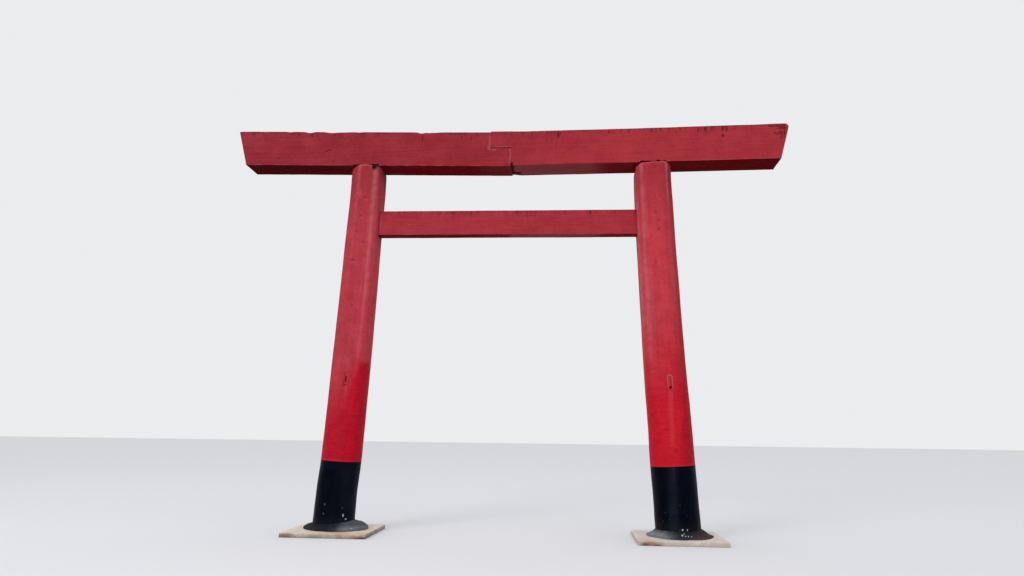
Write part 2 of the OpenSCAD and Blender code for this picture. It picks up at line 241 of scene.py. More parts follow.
def hewn_block(xs, ys, zs, kept=None):
    """Closed skin of quads round the kept cells of a grid, or round all of them: vertices and faces."""
    sizes = np.array([len(xs), len(ys), len(zs)])
    kept = np.ones(sizes - 1, bool) if kept is None else kept
    corner = lambda i, j, k: (i * sizes[1] + j) * sizes[2] + k
    quads = []
    for axis in range(3):
        full = np.pad(kept, [(1, 1) if a == axis else (0, 0) for a in range(3)])
        step = np.diff(full.astype(int), axis=axis)
        one, two = [a for a in range(3) if a != axis]
        for sign in (1, -1):
            place = np.argwhere(step == sign)
            ring = []
            for a, b in ((0, 0), (1, 0), (1, 1), (0, 1)):
                at = place.copy()
                at[:, one] += a
                at[:, two] += b
                ring.append(corner(*at.T))
            ring = np.stack(ring, 1)
            quads.append(ring[:, ::-1] if (sign == 1) != (axis == 1) else ring)
    quads = np.concatenate(quads)
    used, faces = np.unique(quads, return_inverse=True)
    faces = faces.reshape(quads.shape)
    i, rest = np.divmod(used, sizes[1] * sizes[2])
    j, k = np.divmod(rest, sizes[2])
    return np.stack([xs[i], ys[j], zs[k]], 1), faces


def soften(points, faces, times, firm=False):
    """Relaxes points towards their neighbours: rounds the arrises, and leaves flat faces and firm points."""
    edges = np.concatenate([faces[:, [0, 1]], faces[:, [1, 2]], faces[:, [2, 3]], faces[:, [3, 0]]])
    count = np.zeros(len(points))
    np.add.at(count, edges[:, 0], 1)
    firm = np.broadcast_to(firm, len(points))[:, None]
    for _ in range(times):
        total = np.zeros_like(points)
        np.add.at(total, edges[:, 0], points[edges[:, 1]])
        points = np.where(firm, points, 0.5 * points + 0.5 * total / count[:, None])
    return points


def fall(distance, width, flat=0.0):
    """1 up to the flat distance, 0 from width beyond it, smooth between."""
    t = np.clip(1 - np.maximum(np.abs(distance) - flat, 0) / width, 0, 1)
    return t * t * (3 - 2 * t)


def read_off(points, where):
    """Value at a place between measured points (where, how much)."""
    return np.interp(where, *zip(*points))


def at_points(obj):
    """The coordinates of a mesh's points."""
    points = np.empty(3 * len(obj.data.vertices))
    obj.data.vertices.foreach_get("co", points)
    return points.reshape(-1, 3)


def move_points(obj, points):
    """Gives a mesh's points new coordinates."""
    obj.data.vertices.foreach_set("co", points.ravel())
    obj.data.update()


def set_attribute(obj, name, values):
    """Gives each point of a mesh a number that its material reads."""
    if name in obj.data.attributes:
        obj.data.attributes.remove(obj.data.attributes[name])
    layer = obj.data.attributes.new(name, "FLOAT", "POINT")
    layer.data.foreach_set("value", np.asarray(values, dtype=np.float32))


def modified(obj):
    """Replaces the object's mesh by what its modifiers make of it, and removes them."""
    plain = bpy.data.meshes.new_from_object(obj.evaluated_get(bpy.context.evaluated_depsgraph_get()))
    obj.modifiers.clear()
    obj.data = plain
    return obj


def closed_prism(low, high):
    """Closed solid between two rings of points, with its faces outwards."""
    count = len(low)
    faces = [list(range(count)), list(range(2 * count - 1, count - 1, -1))]
    faces += [[i, i + count, (i + 1) % count + count, (i + 1) % count] for i in range(count)]
    obj = new_object("cutter", list(low) + list(high), faces)
    skin = bmesh.new()
    skin.from_mesh(obj.data)
    bmesh.ops.recalc_face_normals(skin, faces=skin.faces)
    skin.to_mesh(obj.data)
    skin.free()
    return obj


def cut(obj, cutter, how="DIFFERENCE"):
    """Cuts obj with a closed cutter, or keeps what they share, and removes the cutter."""
    boolean = obj.modifiers.new("cut", "BOOLEAN")
    boolean.operation = how
    boolean.solver = "EXACT"
    boolean.object = cutter
    modified(obj)
    bpy.data.objects.remove(cutter)


# Edges that turn by more than this are drawn sharp
SHARP_ANGLE = math.radians(42)


def dress(obj, node, material):
    """Lets a finished piece stand for its CAD node."""
    obj.data.materials.clear()
    obj.data.materials.append(material)
    obj.data.set_sharp_from_angle(angle=SHARP_ANGLE)
    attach(obj, "root")
    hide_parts(node)


# Geometry Nodes

def new_tree(name, defaults):
    """A tree with its geometry sockets and named inputs; returns it with the outputs of its group input."""
    tree = bpy.data.node_groups.new(name, "GeometryNodeTree")
    tree.interface.new_socket("Geometry", in_out="OUTPUT", socket_type="NodeSocketGeometry")
    tree.interface.new_socket("Geometry", in_out="INPUT", socket_type="NodeSocketGeometry")
    for name, value in defaults.items():
        tree.interface.new_socket(name, in_out="INPUT", socket_type="NodeSocketFloat").default_value = value
    tree.interface.new_socket("Material", in_out="INPUT", socket_type="NodeSocketMaterial")
    return tree, tree.nodes.new("NodeGroupInput").outputs


def scallops(tree, spot, seed):
    """Scallops of an adze, one to each unit of spot, from -1 to 1."""
    cells = add(tree, "ShaderNodeTexVoronoi", into={"Vector": spot, "W": seed, "Scale": 1.0},
                voronoi_dimensions="4D", feature="SMOOTH_F1").outputs["Distance"]
    return add(tree, "ShaderNodeMapRange", cells, 0.0, 0.9, -1.0, 1.0)


def slow_waves(tree, place, seed, pitch):
    """Slow waves, pitch of them to each unit of place, from -1 to 1."""
    noise = add(tree, "ShaderNodeTexNoise", into={"Vector": place, "W": seed, "Scale": pitch, "Detail": 3.0},
                noise_dimensions="4D").outputs[0]
    return add(tree, "ShaderNodeMapRange", noise, 0.3, 0.7, -1.0, 1.0)


def close_tree(tree, geometry, size):
    """Shades what a tree has made smooth, makes it real and gives it the tree's material."""
    smooth = add(tree, "GeometryNodeSetShadeSmooth", geometry)
    real = add(tree, "GeometryNodeRealizeInstances", smooth)
    coated = add(tree, "GeometryNodeSetMaterial", into={"Geometry": real, "Material": size["Material"]})
    add(tree, "NodeGroupOutput", coated)
    return tree


def grow(obj, tree, **values):
    """Runs the tree on obj with these inputs, set by their sockets' identifiers, and keeps the plain mesh."""
    modifier = obj.modifiers.new(tree.name, "NODES")
    modifier.node_group = tree
    for item in tree.interface.items_tree:
        if item.item_type == "SOCKET" and item.in_out == "INPUT" and item.name in values:
            modifier[item.identifier] = values[item.name]
    return modified(obj)


# Mesh of a log: rows along it, points round it, rows up to the band's edge, and the gap of the next row
LOG_ROWS = 400
LOG_AROUND = 132
BAND_ROWS = 71
ROW_GAP = 0.0015
# Least sine of the angle at which a flat is met, which keeps its distance finite
STEEPEST = 0.05
# Adze scallops on a log: how many to its radius, twice, and to a metre of its length
SCALLOP_PITCH = (3.4, 3.4, 5.5)
# Share of the head's wear that its front and back get, and the length over which each end is cut
FRONT_WEAR = 0.15
CUT_LENGTH = 0.3


def hewn_log_tree(name, post):
    """Rule of a hewn post: a tapered log with four hewn flats that run out down the log,
    leaning, a little bowed, cut level at its foot and along the top beam's slope at its head."""
    tree, size = new_tree(name, {
        "Side": 1.0, "Lean": 0.05, "Length": 4.0, "Taper Length": 3.964, "Foot X": 1.82, "Foot Z": 0.045,
        "Foot Radius": 0.22, "Head Radius": 0.19, "Face Turn": 0.0, "Head Shear": 0.0, "Band Height": 0.706,
        "Rebate": 0.0035, "Sheath": 0.0, "Adze Depth": 0.001, "Waviness": 0.001, "Arris Round": 0.006,
        "Seed": 0.0})
    rod = add(tree, "GeometryNodeMeshCylinder", LOG_AROUND, LOG_ROWS, 1, 1.0, 1.0, fill_type="TRIANGLE_FAN")
    place = add(tree, "ShaderNodeSeparateXYZ", add(tree, "GeometryNodeInputPosition"))
    around = add(tree, "ShaderNodeMath", place.outputs["Y"], place.outputs["X"], operation="ARCTAN2")
    sine = add(tree, "ShaderNodeMath", around, operation="SINE")
    cosine = add(tree, "ShaderNodeMath", around, operation="COSINE")
    outward = diagonal(tree, place.outputs["X"], place.outputs["Y"])
    share = add(tree, "ShaderNodeMath", place.outputs["Z"], 0.5, operation="ADD")

    # Rows along the log: evenly up to the band's edge, one close row there, evenly to the head
    edge_row = BAND_ROWS / LOG_ROWS
    next_row = (BAND_ROWS + 1) / LOG_ROWS
    below = add(tree, "ShaderNodeMapRange", share, 0.0, edge_row, 0.0, size["Band Height"])
    close = add(tree, "ShaderNodeMapRange", share, edge_row, next_row, 0.0, ROW_GAP)
    rest = add(tree, "ShaderNodeMath", size["Length"], size["Band Height"], operation="SUBTRACT")
    rest = add(tree, "ShaderNodeMath", rest, ROW_GAP, operation="SUBTRACT")
    above = add(tree, "ShaderNodeMapRange", share, next_row, 1.0, 0.0, rest)
    along = add(tree, "ShaderNodeMath", below, close, operation="ADD")
    along = add(tree, "ShaderNodeMath", along, above, operation="ADD")

    # Radius of the log itself
    taper = add(tree, "ShaderNodeMapRange", along, 0.0, size["Taper Length"], size["Foot Radius"],
                size["Head Radius"], clamp=False)
    log = add(tree, "ShaderNodeMath", taper, measured(tree, along, post["swell"]), operation="ADD")

    # The four hewn flats; the front and back ones are turned about the axis
    turned = add(tree, "ShaderNodeMath", around, size["Face Turn"], operation="SUBTRACT")
    steep = add(tree, "ShaderNodeMath", turned, operation="SINE")
    steep = add(tree, "ShaderNodeMath", steep, operation="ABSOLUTE")
    steep = add(tree, "ShaderNodeMath", steep, STEEPEST, operation="MAXIMUM")
    broad = add(tree, "ShaderNodeMath", cosine, operation="ABSOLUTE")
    broad = add(tree, "ShaderNodeMath", broad, STEEPEST, operation="MAXIMUM")
    face = add(tree, "ShaderNodeMath", measured(tree, along, post["face_flat"]), steep, operation="DIVIDE")
    flank = add(tree, "ShaderNodeMath", measured(tree, along, post["side_flat"]), broad, operation="DIVIDE")
    flats = add(tree, "ShaderNodeMath", face, flank, operation="MINIMUM")
    radius = add(tree, "ShaderNodeMath", log, flats, size["Arris Round"], operation="SMOOTH_MIN")

    # Adze scallops above the band and slow waves everywhere
    spot = add(tree, "ShaderNodeCombineXYZ", cosine, sine, along)
    spot = add(tree, "ShaderNodeVectorMath", spot, SCALLOP_PITCH, operation="MULTIPLY")
    bare = add(tree, "ShaderNodeMath", along, size["Band Height"], operation="GREATER_THAN")
    scallop = add(tree, "ShaderNodeMath", scallops(tree, spot, size["Seed"]), bare, operation="MULTIPLY")
    scallop = add(tree, "ShaderNodeMath", scallop, size["Adze Depth"], operation="MULTIPLY")
    wave = slow_waves(tree, spot, size["Seed"], 0.55)
    wave = add(tree, "ShaderNodeMath", wave, size["Waviness"], operation="MULTIPLY")
    radius = add(tree, "ShaderNodeMath", radius, scallop, operation="ADD")
    radius = add(tree, "ShaderNodeMath", radius, wave, operation="ADD")

    # Worn round at the head, most at its sides
    to_end = add(tree, "ShaderNodeMath", size["Length"], along, operation="SUBTRACT")
    worn = add(tree, "ShaderNodeMapRange", broad, 0.0, 1.0, FRONT_WEAR, 1.0)
    worn = add(tree, "ShaderNodeMath", worn, measured(tree, to_end, HEAD_ROUND), operation="MULTIPLY")
    radius = add(tree, "ShaderNodeMath", radius, worn, operation="SUBTRACT")

    # Rebate that takes the root band
    sunk = add(tree, "ShaderNodeMath", 1.0, bare, operation="SUBTRACT")
    sunk = add(tree, "ShaderNodeMath", sunk, size["Rebate"], operation="MULTIPLY")
    radius = add(tree, "ShaderNodeMath", radius, sunk, operation="SUBTRACT")
    radius = add(tree, "ShaderNodeMath", radius, outward, operation="MULTIPLY")
    across = add(tree, "ShaderNodeMath", radius, cosine, operation="MULTIPLY")
    depth = add(tree, "ShaderNodeMath", radius, sine, operation="MULTIPLY")
    towards = add(tree, "ShaderNodeMath", across, size["Side"], operation="MULTIPLY")

    # Level foot and sloping head
    lean_sine = add(tree, "ShaderNodeMath", size["Lean"], operation="SINE")
    lean_cosine = add(tree, "ShaderNodeMath", size["Lean"], operation="COSINE")
    near_foot = add(tree, "ShaderNodeMapRange", along, 0.0, CUT_LENGTH, 1.0, 0.0)
    head_start = add(tree, "ShaderNodeMath", size["Length"], CUT_LENGTH, operation="SUBTRACT")
    near_head = add(tree, "ShaderNodeMapRange", along, head_start, size["Length"], 0.0, 1.0)
    foot_shear = add(tree, "ShaderNodeMath", near_foot, lean_sine, operation="MULTIPLY")
    head_shear = add(tree, "ShaderNodeMath", near_head, size["Head Shear"], operation="MULTIPLY")
    shear = add(tree, "ShaderNodeMath", head_shear, foot_shear, operation="SUBTRACT")
    height = add(tree, "ShaderNodeMath", towards, shear, along, operation="MULTIPLY_ADD")

    # Place in the gate
    bow = measured(tree, along, post["bow"])
    inwards = add(tree, "ShaderNodeMath", height, lean_sine, bow, operation="MULTIPLY_ADD")
    inwards = add(tree, "ShaderNodeMath", size["Foot X"], inwards, operation="SUBTRACT")
    x = add(tree, "ShaderNodeMath", inwards, size["Side"], operation="MULTIPLY")
    x = add(tree, "ShaderNodeMath", across, lean_cosine, x, operation="MULTIPLY_ADD")
    z = add(tree, "ShaderNodeMath", height, lean_cosine, size["Foot Z"], operation="MULTIPLY_ADD")
    z = add(tree, "ShaderNodeMath", towards, lean_sine, z, operation="MULTIPLY_ADD")
    shaped = add(tree, "ShaderNodeCombineXYZ", x, depth, z)
    marked = add(tree, "GeometryNodeStoreNamedAttribute",
                 into={"Geometry": rod, "Name": "along", "Value": along}, data_type="FLOAT", domain="POINT")
    log_mesh = add(tree, "GeometryNodeSetPosition", into={"Geometry": marked, "Position": shaped})

    # The sheath is the log's skin up to the band's edge, without its ends
    stored = add(tree, "GeometryNodeInputNamedAttribute", "along", data_type="FLOAT")
    too_high = add(tree, "ShaderNodeMath", stored, size["Band Height"], operation="GREATER_THAN")
    not_side = add(tree, "ShaderNodeMath", 1.0, rod.outputs["Side"], operation="SUBTRACT")
    unwanted = add(tree, "ShaderNodeMath", too_high, not_side, operation="MAXIMUM")
    unwanted = add(tree, "ShaderNodeMath", unwanted, size["Sheath"], operation="MULTIPLY")
    unwanted = add(tree, "ShaderNodeMath", unwanted, 0.5, operation="GREATER_THAN")
    trimmed = add(tree, "GeometryNodeDeleteGeometry", log_mesh, unwanted, domain="FACE")
    return close_tree(tree, trimmed, size)


def worked_face_tree():
    """Finish of a face worked by hand: shallow scallops and slow waves, pushed along the normals."""
    tree, size = new_tree("worked_face", {
        "Scallop Length": 0.2, "Scallop Width": 0.07, "Scallop Depth": 0.0008, "Wave Length": 0.3,
        "Wave Depth": 0.0012, "Seed": 0.0})
    place = add(tree, "GeometryNodeInputPosition")
    width = size["Scallop Width"]
    cell = add(tree, "ShaderNodeCombineXYZ", size["Scallop Length"], width, width)
    spot = add(tree, "ShaderNodeVectorMath", place, cell, operation="DIVIDE")
    scallop = scallops(tree, spot, size["Seed"])
    scallop = add(tree, "ShaderNodeMath", scallop, size["Scallop Depth"], operation="MULTIPLY")
    pitch = add(tree, "ShaderNodeMath", 1.0, size["Wave Length"], operation="DIVIDE")
    wave = slow_waves(tree, place, size["Seed"], pitch)
    relief = add(tree, "ShaderNodeMath", wave, size["Wave Depth"], scallop, operation="MULTIPLY_ADD")
    normal = add(tree, "GeometryNodeInputNormal")
    push = add(tree, "ShaderNodeVectorMath", normal, into={"Scale": relief}, operation="SCALE")
    worked = add(tree, "GeometryNodeSetPosition", into={"Geometry": size["Geometry"], "Offset": push})
    return close_tree(tree, worked, size)


worked_face = worked_face_tree()


# Materials

# How far a mark's edge wanders
RAGGED = 0.008
# Fronts that carry marks: their depth in the gate, and how far marks reach before and behind it
LOG_FRONT = (-0.23, 0.12)
HOLE_FRONT = (-0.140, 0.034)
COLLAR_FRONT = (-0.30, 0.14)
SLAB_FRONT = (-0.46, 0.05)
SLAB_TOP = (-0.40, 0.12)
BEAM_MARK_DEPTH = 0.03
# More than any distance from a mark, counted in halves of its size
FAR_OFF = 1e6


def new_material(name):
    """An empty material and its tree, with a Principled shader linked to the output."""
    material = bpy.data.materials.new(name)
    material.use_nodes = True
    tree = material.node_tree
    return material, tree, tree.nodes["Principled BSDF"]


def as_colour(coat):
    """A hex code as a linear colour; values and sockets stay as they are."""
    return paint(coat) if isinstance(coat, str) else coat


def layered(tree, colour, layers):
    """Lays coats over a colour, each with its cover from 0 to 1. Colours are hex codes, values or sockets."""
    colour = as_colour(colour)
    for cover, coat in layers:
        mix = add(tree, "ShaderNodeMix", into={0: cover, 6: colour, 7: as_colour(coat)}, data_type="RGBA")
        colour = mix.outputs[2]
    return colour


def overlap(tree, *covers):
    """Cover where all the given covers meet."""
    whole = covers[0]
    for cover in covers[1:]:
        whole = add(tree, "ShaderNodeMath", whole, cover, operation="MULTIPLY")
    return whole


def sum_of(tree, *parts):
    """Sum of values, each with its weight."""
    total = 0.0
    for value, weight in parts:
        total = add(tree, "ShaderNodeMath", value, weight, total, operation="MULTIPLY_ADD")
    return total


def apart(tree, one, other):
    """How far apart two values are."""
    gap = add(tree, "ShaderNodeMath", one, other, operation="SUBTRACT")
    return add(tree, "ShaderNodeMath", gap, operation="ABSOLUTE")


def drawn_out(tree, place, pitch, **settings):
    """Noise drawn out along an axis: pitch says how often it changes to a metre of x, y and z."""
    drawn = add(tree, "ShaderNodeVectorMath", place, pitch, operation="MULTIPLY")
    return add(tree, "ShaderNodeTexNoise", into={"Vector": drawn, "Scale": 1.0, **settings})


def ragged(tree, place, grain=90.0):
    """A place that wanders a few millimetres, so that marks get uneven edges."""
    shake = add(tree, "ShaderNodeTexNoise", into={"Vector": place, "Scale": grain, "Detail": 2.0})
    return add(tree, "ShaderNodeVectorMath", shake.outputs["Color"], (RAGGED,) * 3, place,
               operation="MULTIPLY_ADD")


def spots(tree, place, front, marks, hard=0.6):
    """Cover of marks listed as (x, z, half width, half height) on a front given as (depth, half depth)."""
    nearest = FAR_OFF
    for x, z, half_x, half_z in marks:
        centre, half = (x, front[0], z), (half_x, front[1], half_z)
        at = add(tree, "ShaderNodeVectorMath", place, [1 / h for h in half],
                 [-(c + RAGGED / 2) / h for c, h in zip(centre, half)], operation="MULTIPLY_ADD")
        distance = add(tree, "ShaderNodeVectorMath", at, operation="LENGTH").outputs["Value"]
        nearest = add(tree, "ShaderNodeMath", nearest, distance, operation="MINIMUM")
    return add(tree, "ShaderNodeMapRange", nearest, hard, 1.25, 1.0, 0.0)


# Dark drips, dents and cracks on the fronts of the beams, and pale rubbed places and putty lines
BEAM_MARKS = {
    "kasagi_left": dict(
        bleached=[(-3.15, 0.0), (-1.0, 0.0), (0.1, 0.12)],
        dark=[(-2.262, 4.412, 0.020, 0.011), (-2.258, 4.398, 0.008, 0.020), (-2.415, 4.419, 0.010, 0.014),
              (-2.639, 4.136, 0.012, 0.012), (-1.996, 4.090, 0.012, 0.010), (-0.973, 4.356, 0.006, 0.046),
              (-0.526, 4.358, 0.007, 0.020), (-0.412, 4.344, 0.007, 0.020), (-0.574, 4.400, 0.115, 0.006),
              (0.007, 4.135, 0.008, 0.008), (-0.015, 4.025, 0.008, 0.008), (-2.078, 4.215, 0.018, 0.009),
              (-2.042, 4.226, 0.018, 0.009)],
        pale=[(-0.202, 4.300, 0.012, 0.115), (-0.210, 4.235, 0.020, 0.028),
              (0.030, 4.200, 0.018, 0.014), (0.032, 4.150, 0.008, 0.060), (0.024, 4.075, 0.008, 0.060),
              (-0.150, 4.204, 0.030, 0.012)]),
    "kasagi_right": dict(
        bleached=[(-0.2, 0.25), (0.6, 0.5), (1.4, 0.9), (3.15, 1.0)],
        dark=[(0.572, 4.371, 0.011, 0.038), (0.594, 4.388, 0.009, 0.016), (1.138, 4.401, 0.008, 0.022),
              (1.355, 4.401, 0.008, 0.022), (1.617, 4.409, 0.009, 0.024), (1.710, 4.419, 0.008, 0.020),
              (2.124, 4.407, 0.008, 0.030), (2.200, 4.418, 0.009, 0.026), (2.394, 4.420, 0.011, 0.032),
              (2.438, 4.418, 0.010, 0.034), (2.394, 4.338, 0.015, 0.021), (2.905, 4.442, 0.018, 0.010),
              (2.937, 4.436, 0.017, 0.010), (2.990, 4.440, 0.036, 0.008), (3.022, 4.426, 0.010, 0.032),
              (3.047, 4.428, 0.009, 0.034), (3.070, 4.422, 0.009, 0.034), (2.998, 4.414, 0.012, 0.009),
              (2.964, 4.358, 0.016, 0.010), (2.992, 4.350, 0.011, 0.010), (3.014, 4.358, 0.008, 0.020),
              (3.038, 4.352, 0.009, 0.019), (3.064, 4.360, 0.009, 0.022), (3.022, 4.374, 0.028, 0.006),
              (3.024, 4.312, 0.008, 0.024), (3.058, 4.318, 0.006, 0.018), (0.240, 4.337, 0.007, 0.007),
              (0.452, 4.310, 0.006, 0.010), (1.709, 4.045, 0.015, 0.009)],
        pale=[(-0.075, 4.239, 0.105, 0.007)]),
    "nuki": dict(
        bleached=[(-1.55, 0.65), (1.55, 0.75)],
        dark=[(1.431, 3.494, 0.012, 0.010), (-0.62, 3.497, 0.007, 0.016), (0.38, 3.500, 0.006, 0.014),
              (0.93, 3.492, 0.007, 0.022)],
        pale=[(-1.10, 3.36, 0.020, 0.006), (-1.437, 3.385, 0.010, 0.125)]),
}


# Pith of a beam, seen in its end grain: its depth in the gate and its height as a share of the beam's
PITH_DEPTH = 0.03
PITH_HEIGHT = 0.46


def beam_paint(name, node, height, depth, underside):
    """Oil paint brushed on hewn cypress beams: satin when new, chalked by the weather to a dull crimson.
    The eye sees soft mottling, long brush marks, dark drips below the top edge and rubbed arrises."""
    material, tree, shader = new_material(name)
    marks = BEAM_MARKS[node]
    texture = add(tree, "ShaderNodeTexCoord")
    place = texture.outputs["Object"]
    x, y, _ = add(tree, "ShaderNodeSeparateXYZ", place).outputs
    facing = add(tree, "ShaderNodeSeparateXYZ", texture.outputs["Normal"]).outputs
    up = add(tree, "ShaderNodeAttribute", attribute_name="up").outputs["Fac"]
    below_top = add(tree, "ShaderNodeMath", height, up, operation="SUBTRACT")

    # Mottling in patches of about 220 mm, dabs of 22 mm, and brush marks 13 mm wide along the grain;
    # the bristles' own lines are too fine to show, so the marks are drawn that coarse
    mottle = add(tree, "ShaderNodeTexNoise",
                 into={"Vector": place, "Scale": 4.5, "Detail": 6.0, "Roughness": 0.6})
    brush = drawn_out(tree, place, (2.2, 75.0, 75.0), Detail=3.0)
    dab = add(tree, "ShaderNodeTexNoise", into={"Vector": place, "Scale": 45.0, "Detail": 2.0})
    uneven = sum_of(tree, (dab, 0.25), (brush, 0.30), (mottle, 0.45))
    uneven = add(tree, "ShaderNodeMapRange", uneven, 0.41, 0.59, 0.0, 1.0)

    # The sun has bleached the right half lighter than the left
    bleached = measured(tree, x, marks["bleached"])
    full = layered(tree, "#a02936", [(bleached, "#b6343e")])
    colour = layered(tree, "#8e212c", [(bleached, "#a42a34"), (uneven, full)])

    # Thin drips 20 mm apart hang from the top edge, longer in some places than in others
    comb = drawn_out(tree, place, (52.0, 3.0, 1.0), Detail=2.0)
    comb = add(tree, "ShaderNodeMapRange", comb, 0.50, 0.60, 0.0, 1.0)
    stretch = drawn_out(tree, place, (6.0, 1.0, 0.0), Detail=3.0)
    stretch = add(tree, "ShaderNodeMapRange", stretch, 0.38, 0.66, 0.012, 0.13)
    hanging = add(tree, "ShaderNodeMapRange", below_top, 0.0, stretch, 1.0, 0.0)
    sideways = add(tree, "ShaderNodeMath", facing["Y"], operation="ABSOLUTE")
    sideways = add(tree, "ShaderNodeMapRange", sideways, 0.5, 0.8, 0.0, 1.0)
    drips = overlap(tree, comb, hanging, sideways, 0.75)
    rim = add(tree, "ShaderNodeMapRange", below_top, 0.004, 0.016, 0.9, 0.0)
    rim = overlap(tree, rim, sideways, add(tree, "ShaderNodeMapRange", mottle, 0.40, 0.60, 0.3, 1.0))
    lowest = add(tree, "ShaderNodeMapRange", up, 0.010, 0.040, 0.45, 0.0)
    lowest = overlap(tree, lowest, bleached, sideways)

    # Rubbed arrises, a centimetre wide and patchy
    inwards = add(tree, "ShaderNodeMath", y, operation="ABSOLUTE")
    inwards = add(tree, "ShaderNodeMath", depth / 2, inwards, operation="SUBTRACT")
    edge = add(tree, "ShaderNodeMath", up, below_top, operation="MINIMUM")
    edge = add(tree, "ShaderNodeMapRange", diagonal(tree, inwards, edge), 0.003, 0.012, 1.0, 0.0)
    patchy = add(tree, "ShaderNodeTexNoise", into={"Vector": place, "Scale": 9.0, "Detail": 4.0})
    patchy = add(tree, "ShaderNodeMapRange", patchy, 0.40, 0.60, 0.0, 0.45)
    rubbed = overlap(tree, edge, patchy)

    shaken = ragged(tree, place)
    front = (-depth / 2, BEAM_MARK_DEPTH)
    dark = overlap(tree, spots(tree, shaken, front, marks["dark"]), 0.8)
    pale = overlap(tree, spots(tree, shaken, front, marks["pale"]), 0.6)

    # The underside keeps its deep first colour, streaked along the grain. Beside the lap it is lighter,
    # partly dust and partly painted reflected light
    under = add(tree, "ShaderNodeMapRange", facing["Z"], -0.6, -0.85, 0.0, 1.0)
    dusty = measured(tree, x, [(-3.1, 0.0), (-0.45, 0.0), (-0.15, 0.20), (0.0, 0.20), (0.09, 1.0),
                               (0.85, 0.95), (1.2, 0.12), (3.1, 0.02)])
    streak = add(tree, "ShaderNodeMapRange", brush, 0.35, 0.65, 0.7, 1.0)
    dusty = overlap(tree, under, dusty, streak)
    soot = overlap(tree, under, add(tree, "ShaderNodeMapRange", brush, 0.58, 0.42, 0.0, 0.6))
    # Darker under the left half's outer end: painted shade
    painted_underside_shade = overlap(tree, under, measured(tree, x, [(-3.1, 0.6), (-1.9, 0.45), (-1.3, 0.0), (3.1, 0.0)]))

    # The top lies open to rain and dust
    over = add(tree, "ShaderNodeMapRange", facing["Z"], 0.6, 0.85, 0.0, 0.75)
    over = overlap(tree, over, add(tree, "ShaderNodeMapRange", mottle, 0.35, 0.65, 0.5, 1.0))
    lichen = add(tree, "ShaderNodeTexNoise",
                 into={"Vector": place, "Scale": 30.0, "Detail": 5.0, "Roughness": 0.7})
    lichen = overlap(tree, over, add(tree, "ShaderNodeMapRange", lichen, 0.56, 0.66, 0.0, 0.6))

    # End grain: growth rings round the pith, 14 mm apart as drawn, under the same paint
    end = add(tree, "ShaderNodeMath", facing["X"], operation="ABSOLUTE")
    end = add(tree, "ShaderNodeMapRange", end, 0.6, 0.85, 0.0, 1.0)
    pith = (0.0, PITH_DEPTH, underside + PITH_HEIGHT * height)
    pith = add(tree, "ShaderNodeVectorMath", place, pith, operation="SUBTRACT")
    rings = add(tree, "ShaderNodeTexWave",
                into={"Vector": pith, "Scale": 22.0, "Distortion": 2.0, "Detail": 2.0},
                wave_type="RINGS", rings_direction="X").outputs["Fac"]
    rings = overlap(tree, end, rings, 0.4)

    colour = layered(tree, colour, [
        (drips, "#641520"), (rim, "#5a151b"), (lowest, "#b42c37"), (rubbed, "#b5656d"), (pale, "#ad545e"),
        (dark, "#4a0e17"), (under, "#ae0c18"), (soot, "#6c0a12"), (dusty, "#de7174"), (painted_underside_shade, "#5e0608"),
        (over, "#8a4b48"), (lichen, "#8f8a7c"), (overlap(tree, end, 0.5), "#7c1c26"), (rings, "#551019")])

    # Adze dents 50 mm wide, deepest at the outer end of the left half
    dents = add(tree, "ShaderNodeTexNoise", into={"Vector": place, "Scale": 20.0, "Detail": 1.0})
    dents = overlap(tree, dents, measured(tree, x, [(-3.1, 3.0), (-1.9, 3.0), (-1.5, 1.0), (3.1, 0.9)]))
    relief = sum_of(tree, (uneven, 1.0), (brush, 0.5), (dents, 1.0), (dark, -1.0), (rings, -1.0))
    # Only the brushed sides have a sheen; the underside, out of the weather, is dull but for its dust
    sheen = add(tree, "ShaderNodeMapRange", under, 0.0, 1.0, 0.10, 0.01)
    plug(tree, shader, {
        "Base Color": colour,
        "Normal": add(tree, "ShaderNodeBump", into={"Strength": 0.4, "Distance": 0.0012, "Height": relief}),
        "Roughness": add(tree, "ShaderNodeMapRange", uneven, 0.0, 1.0, 0.68, 0.56),
        "Specular IOR Level": sum_of(tree, (sheen, 1.0), (dusty, 0.03))})
    return material
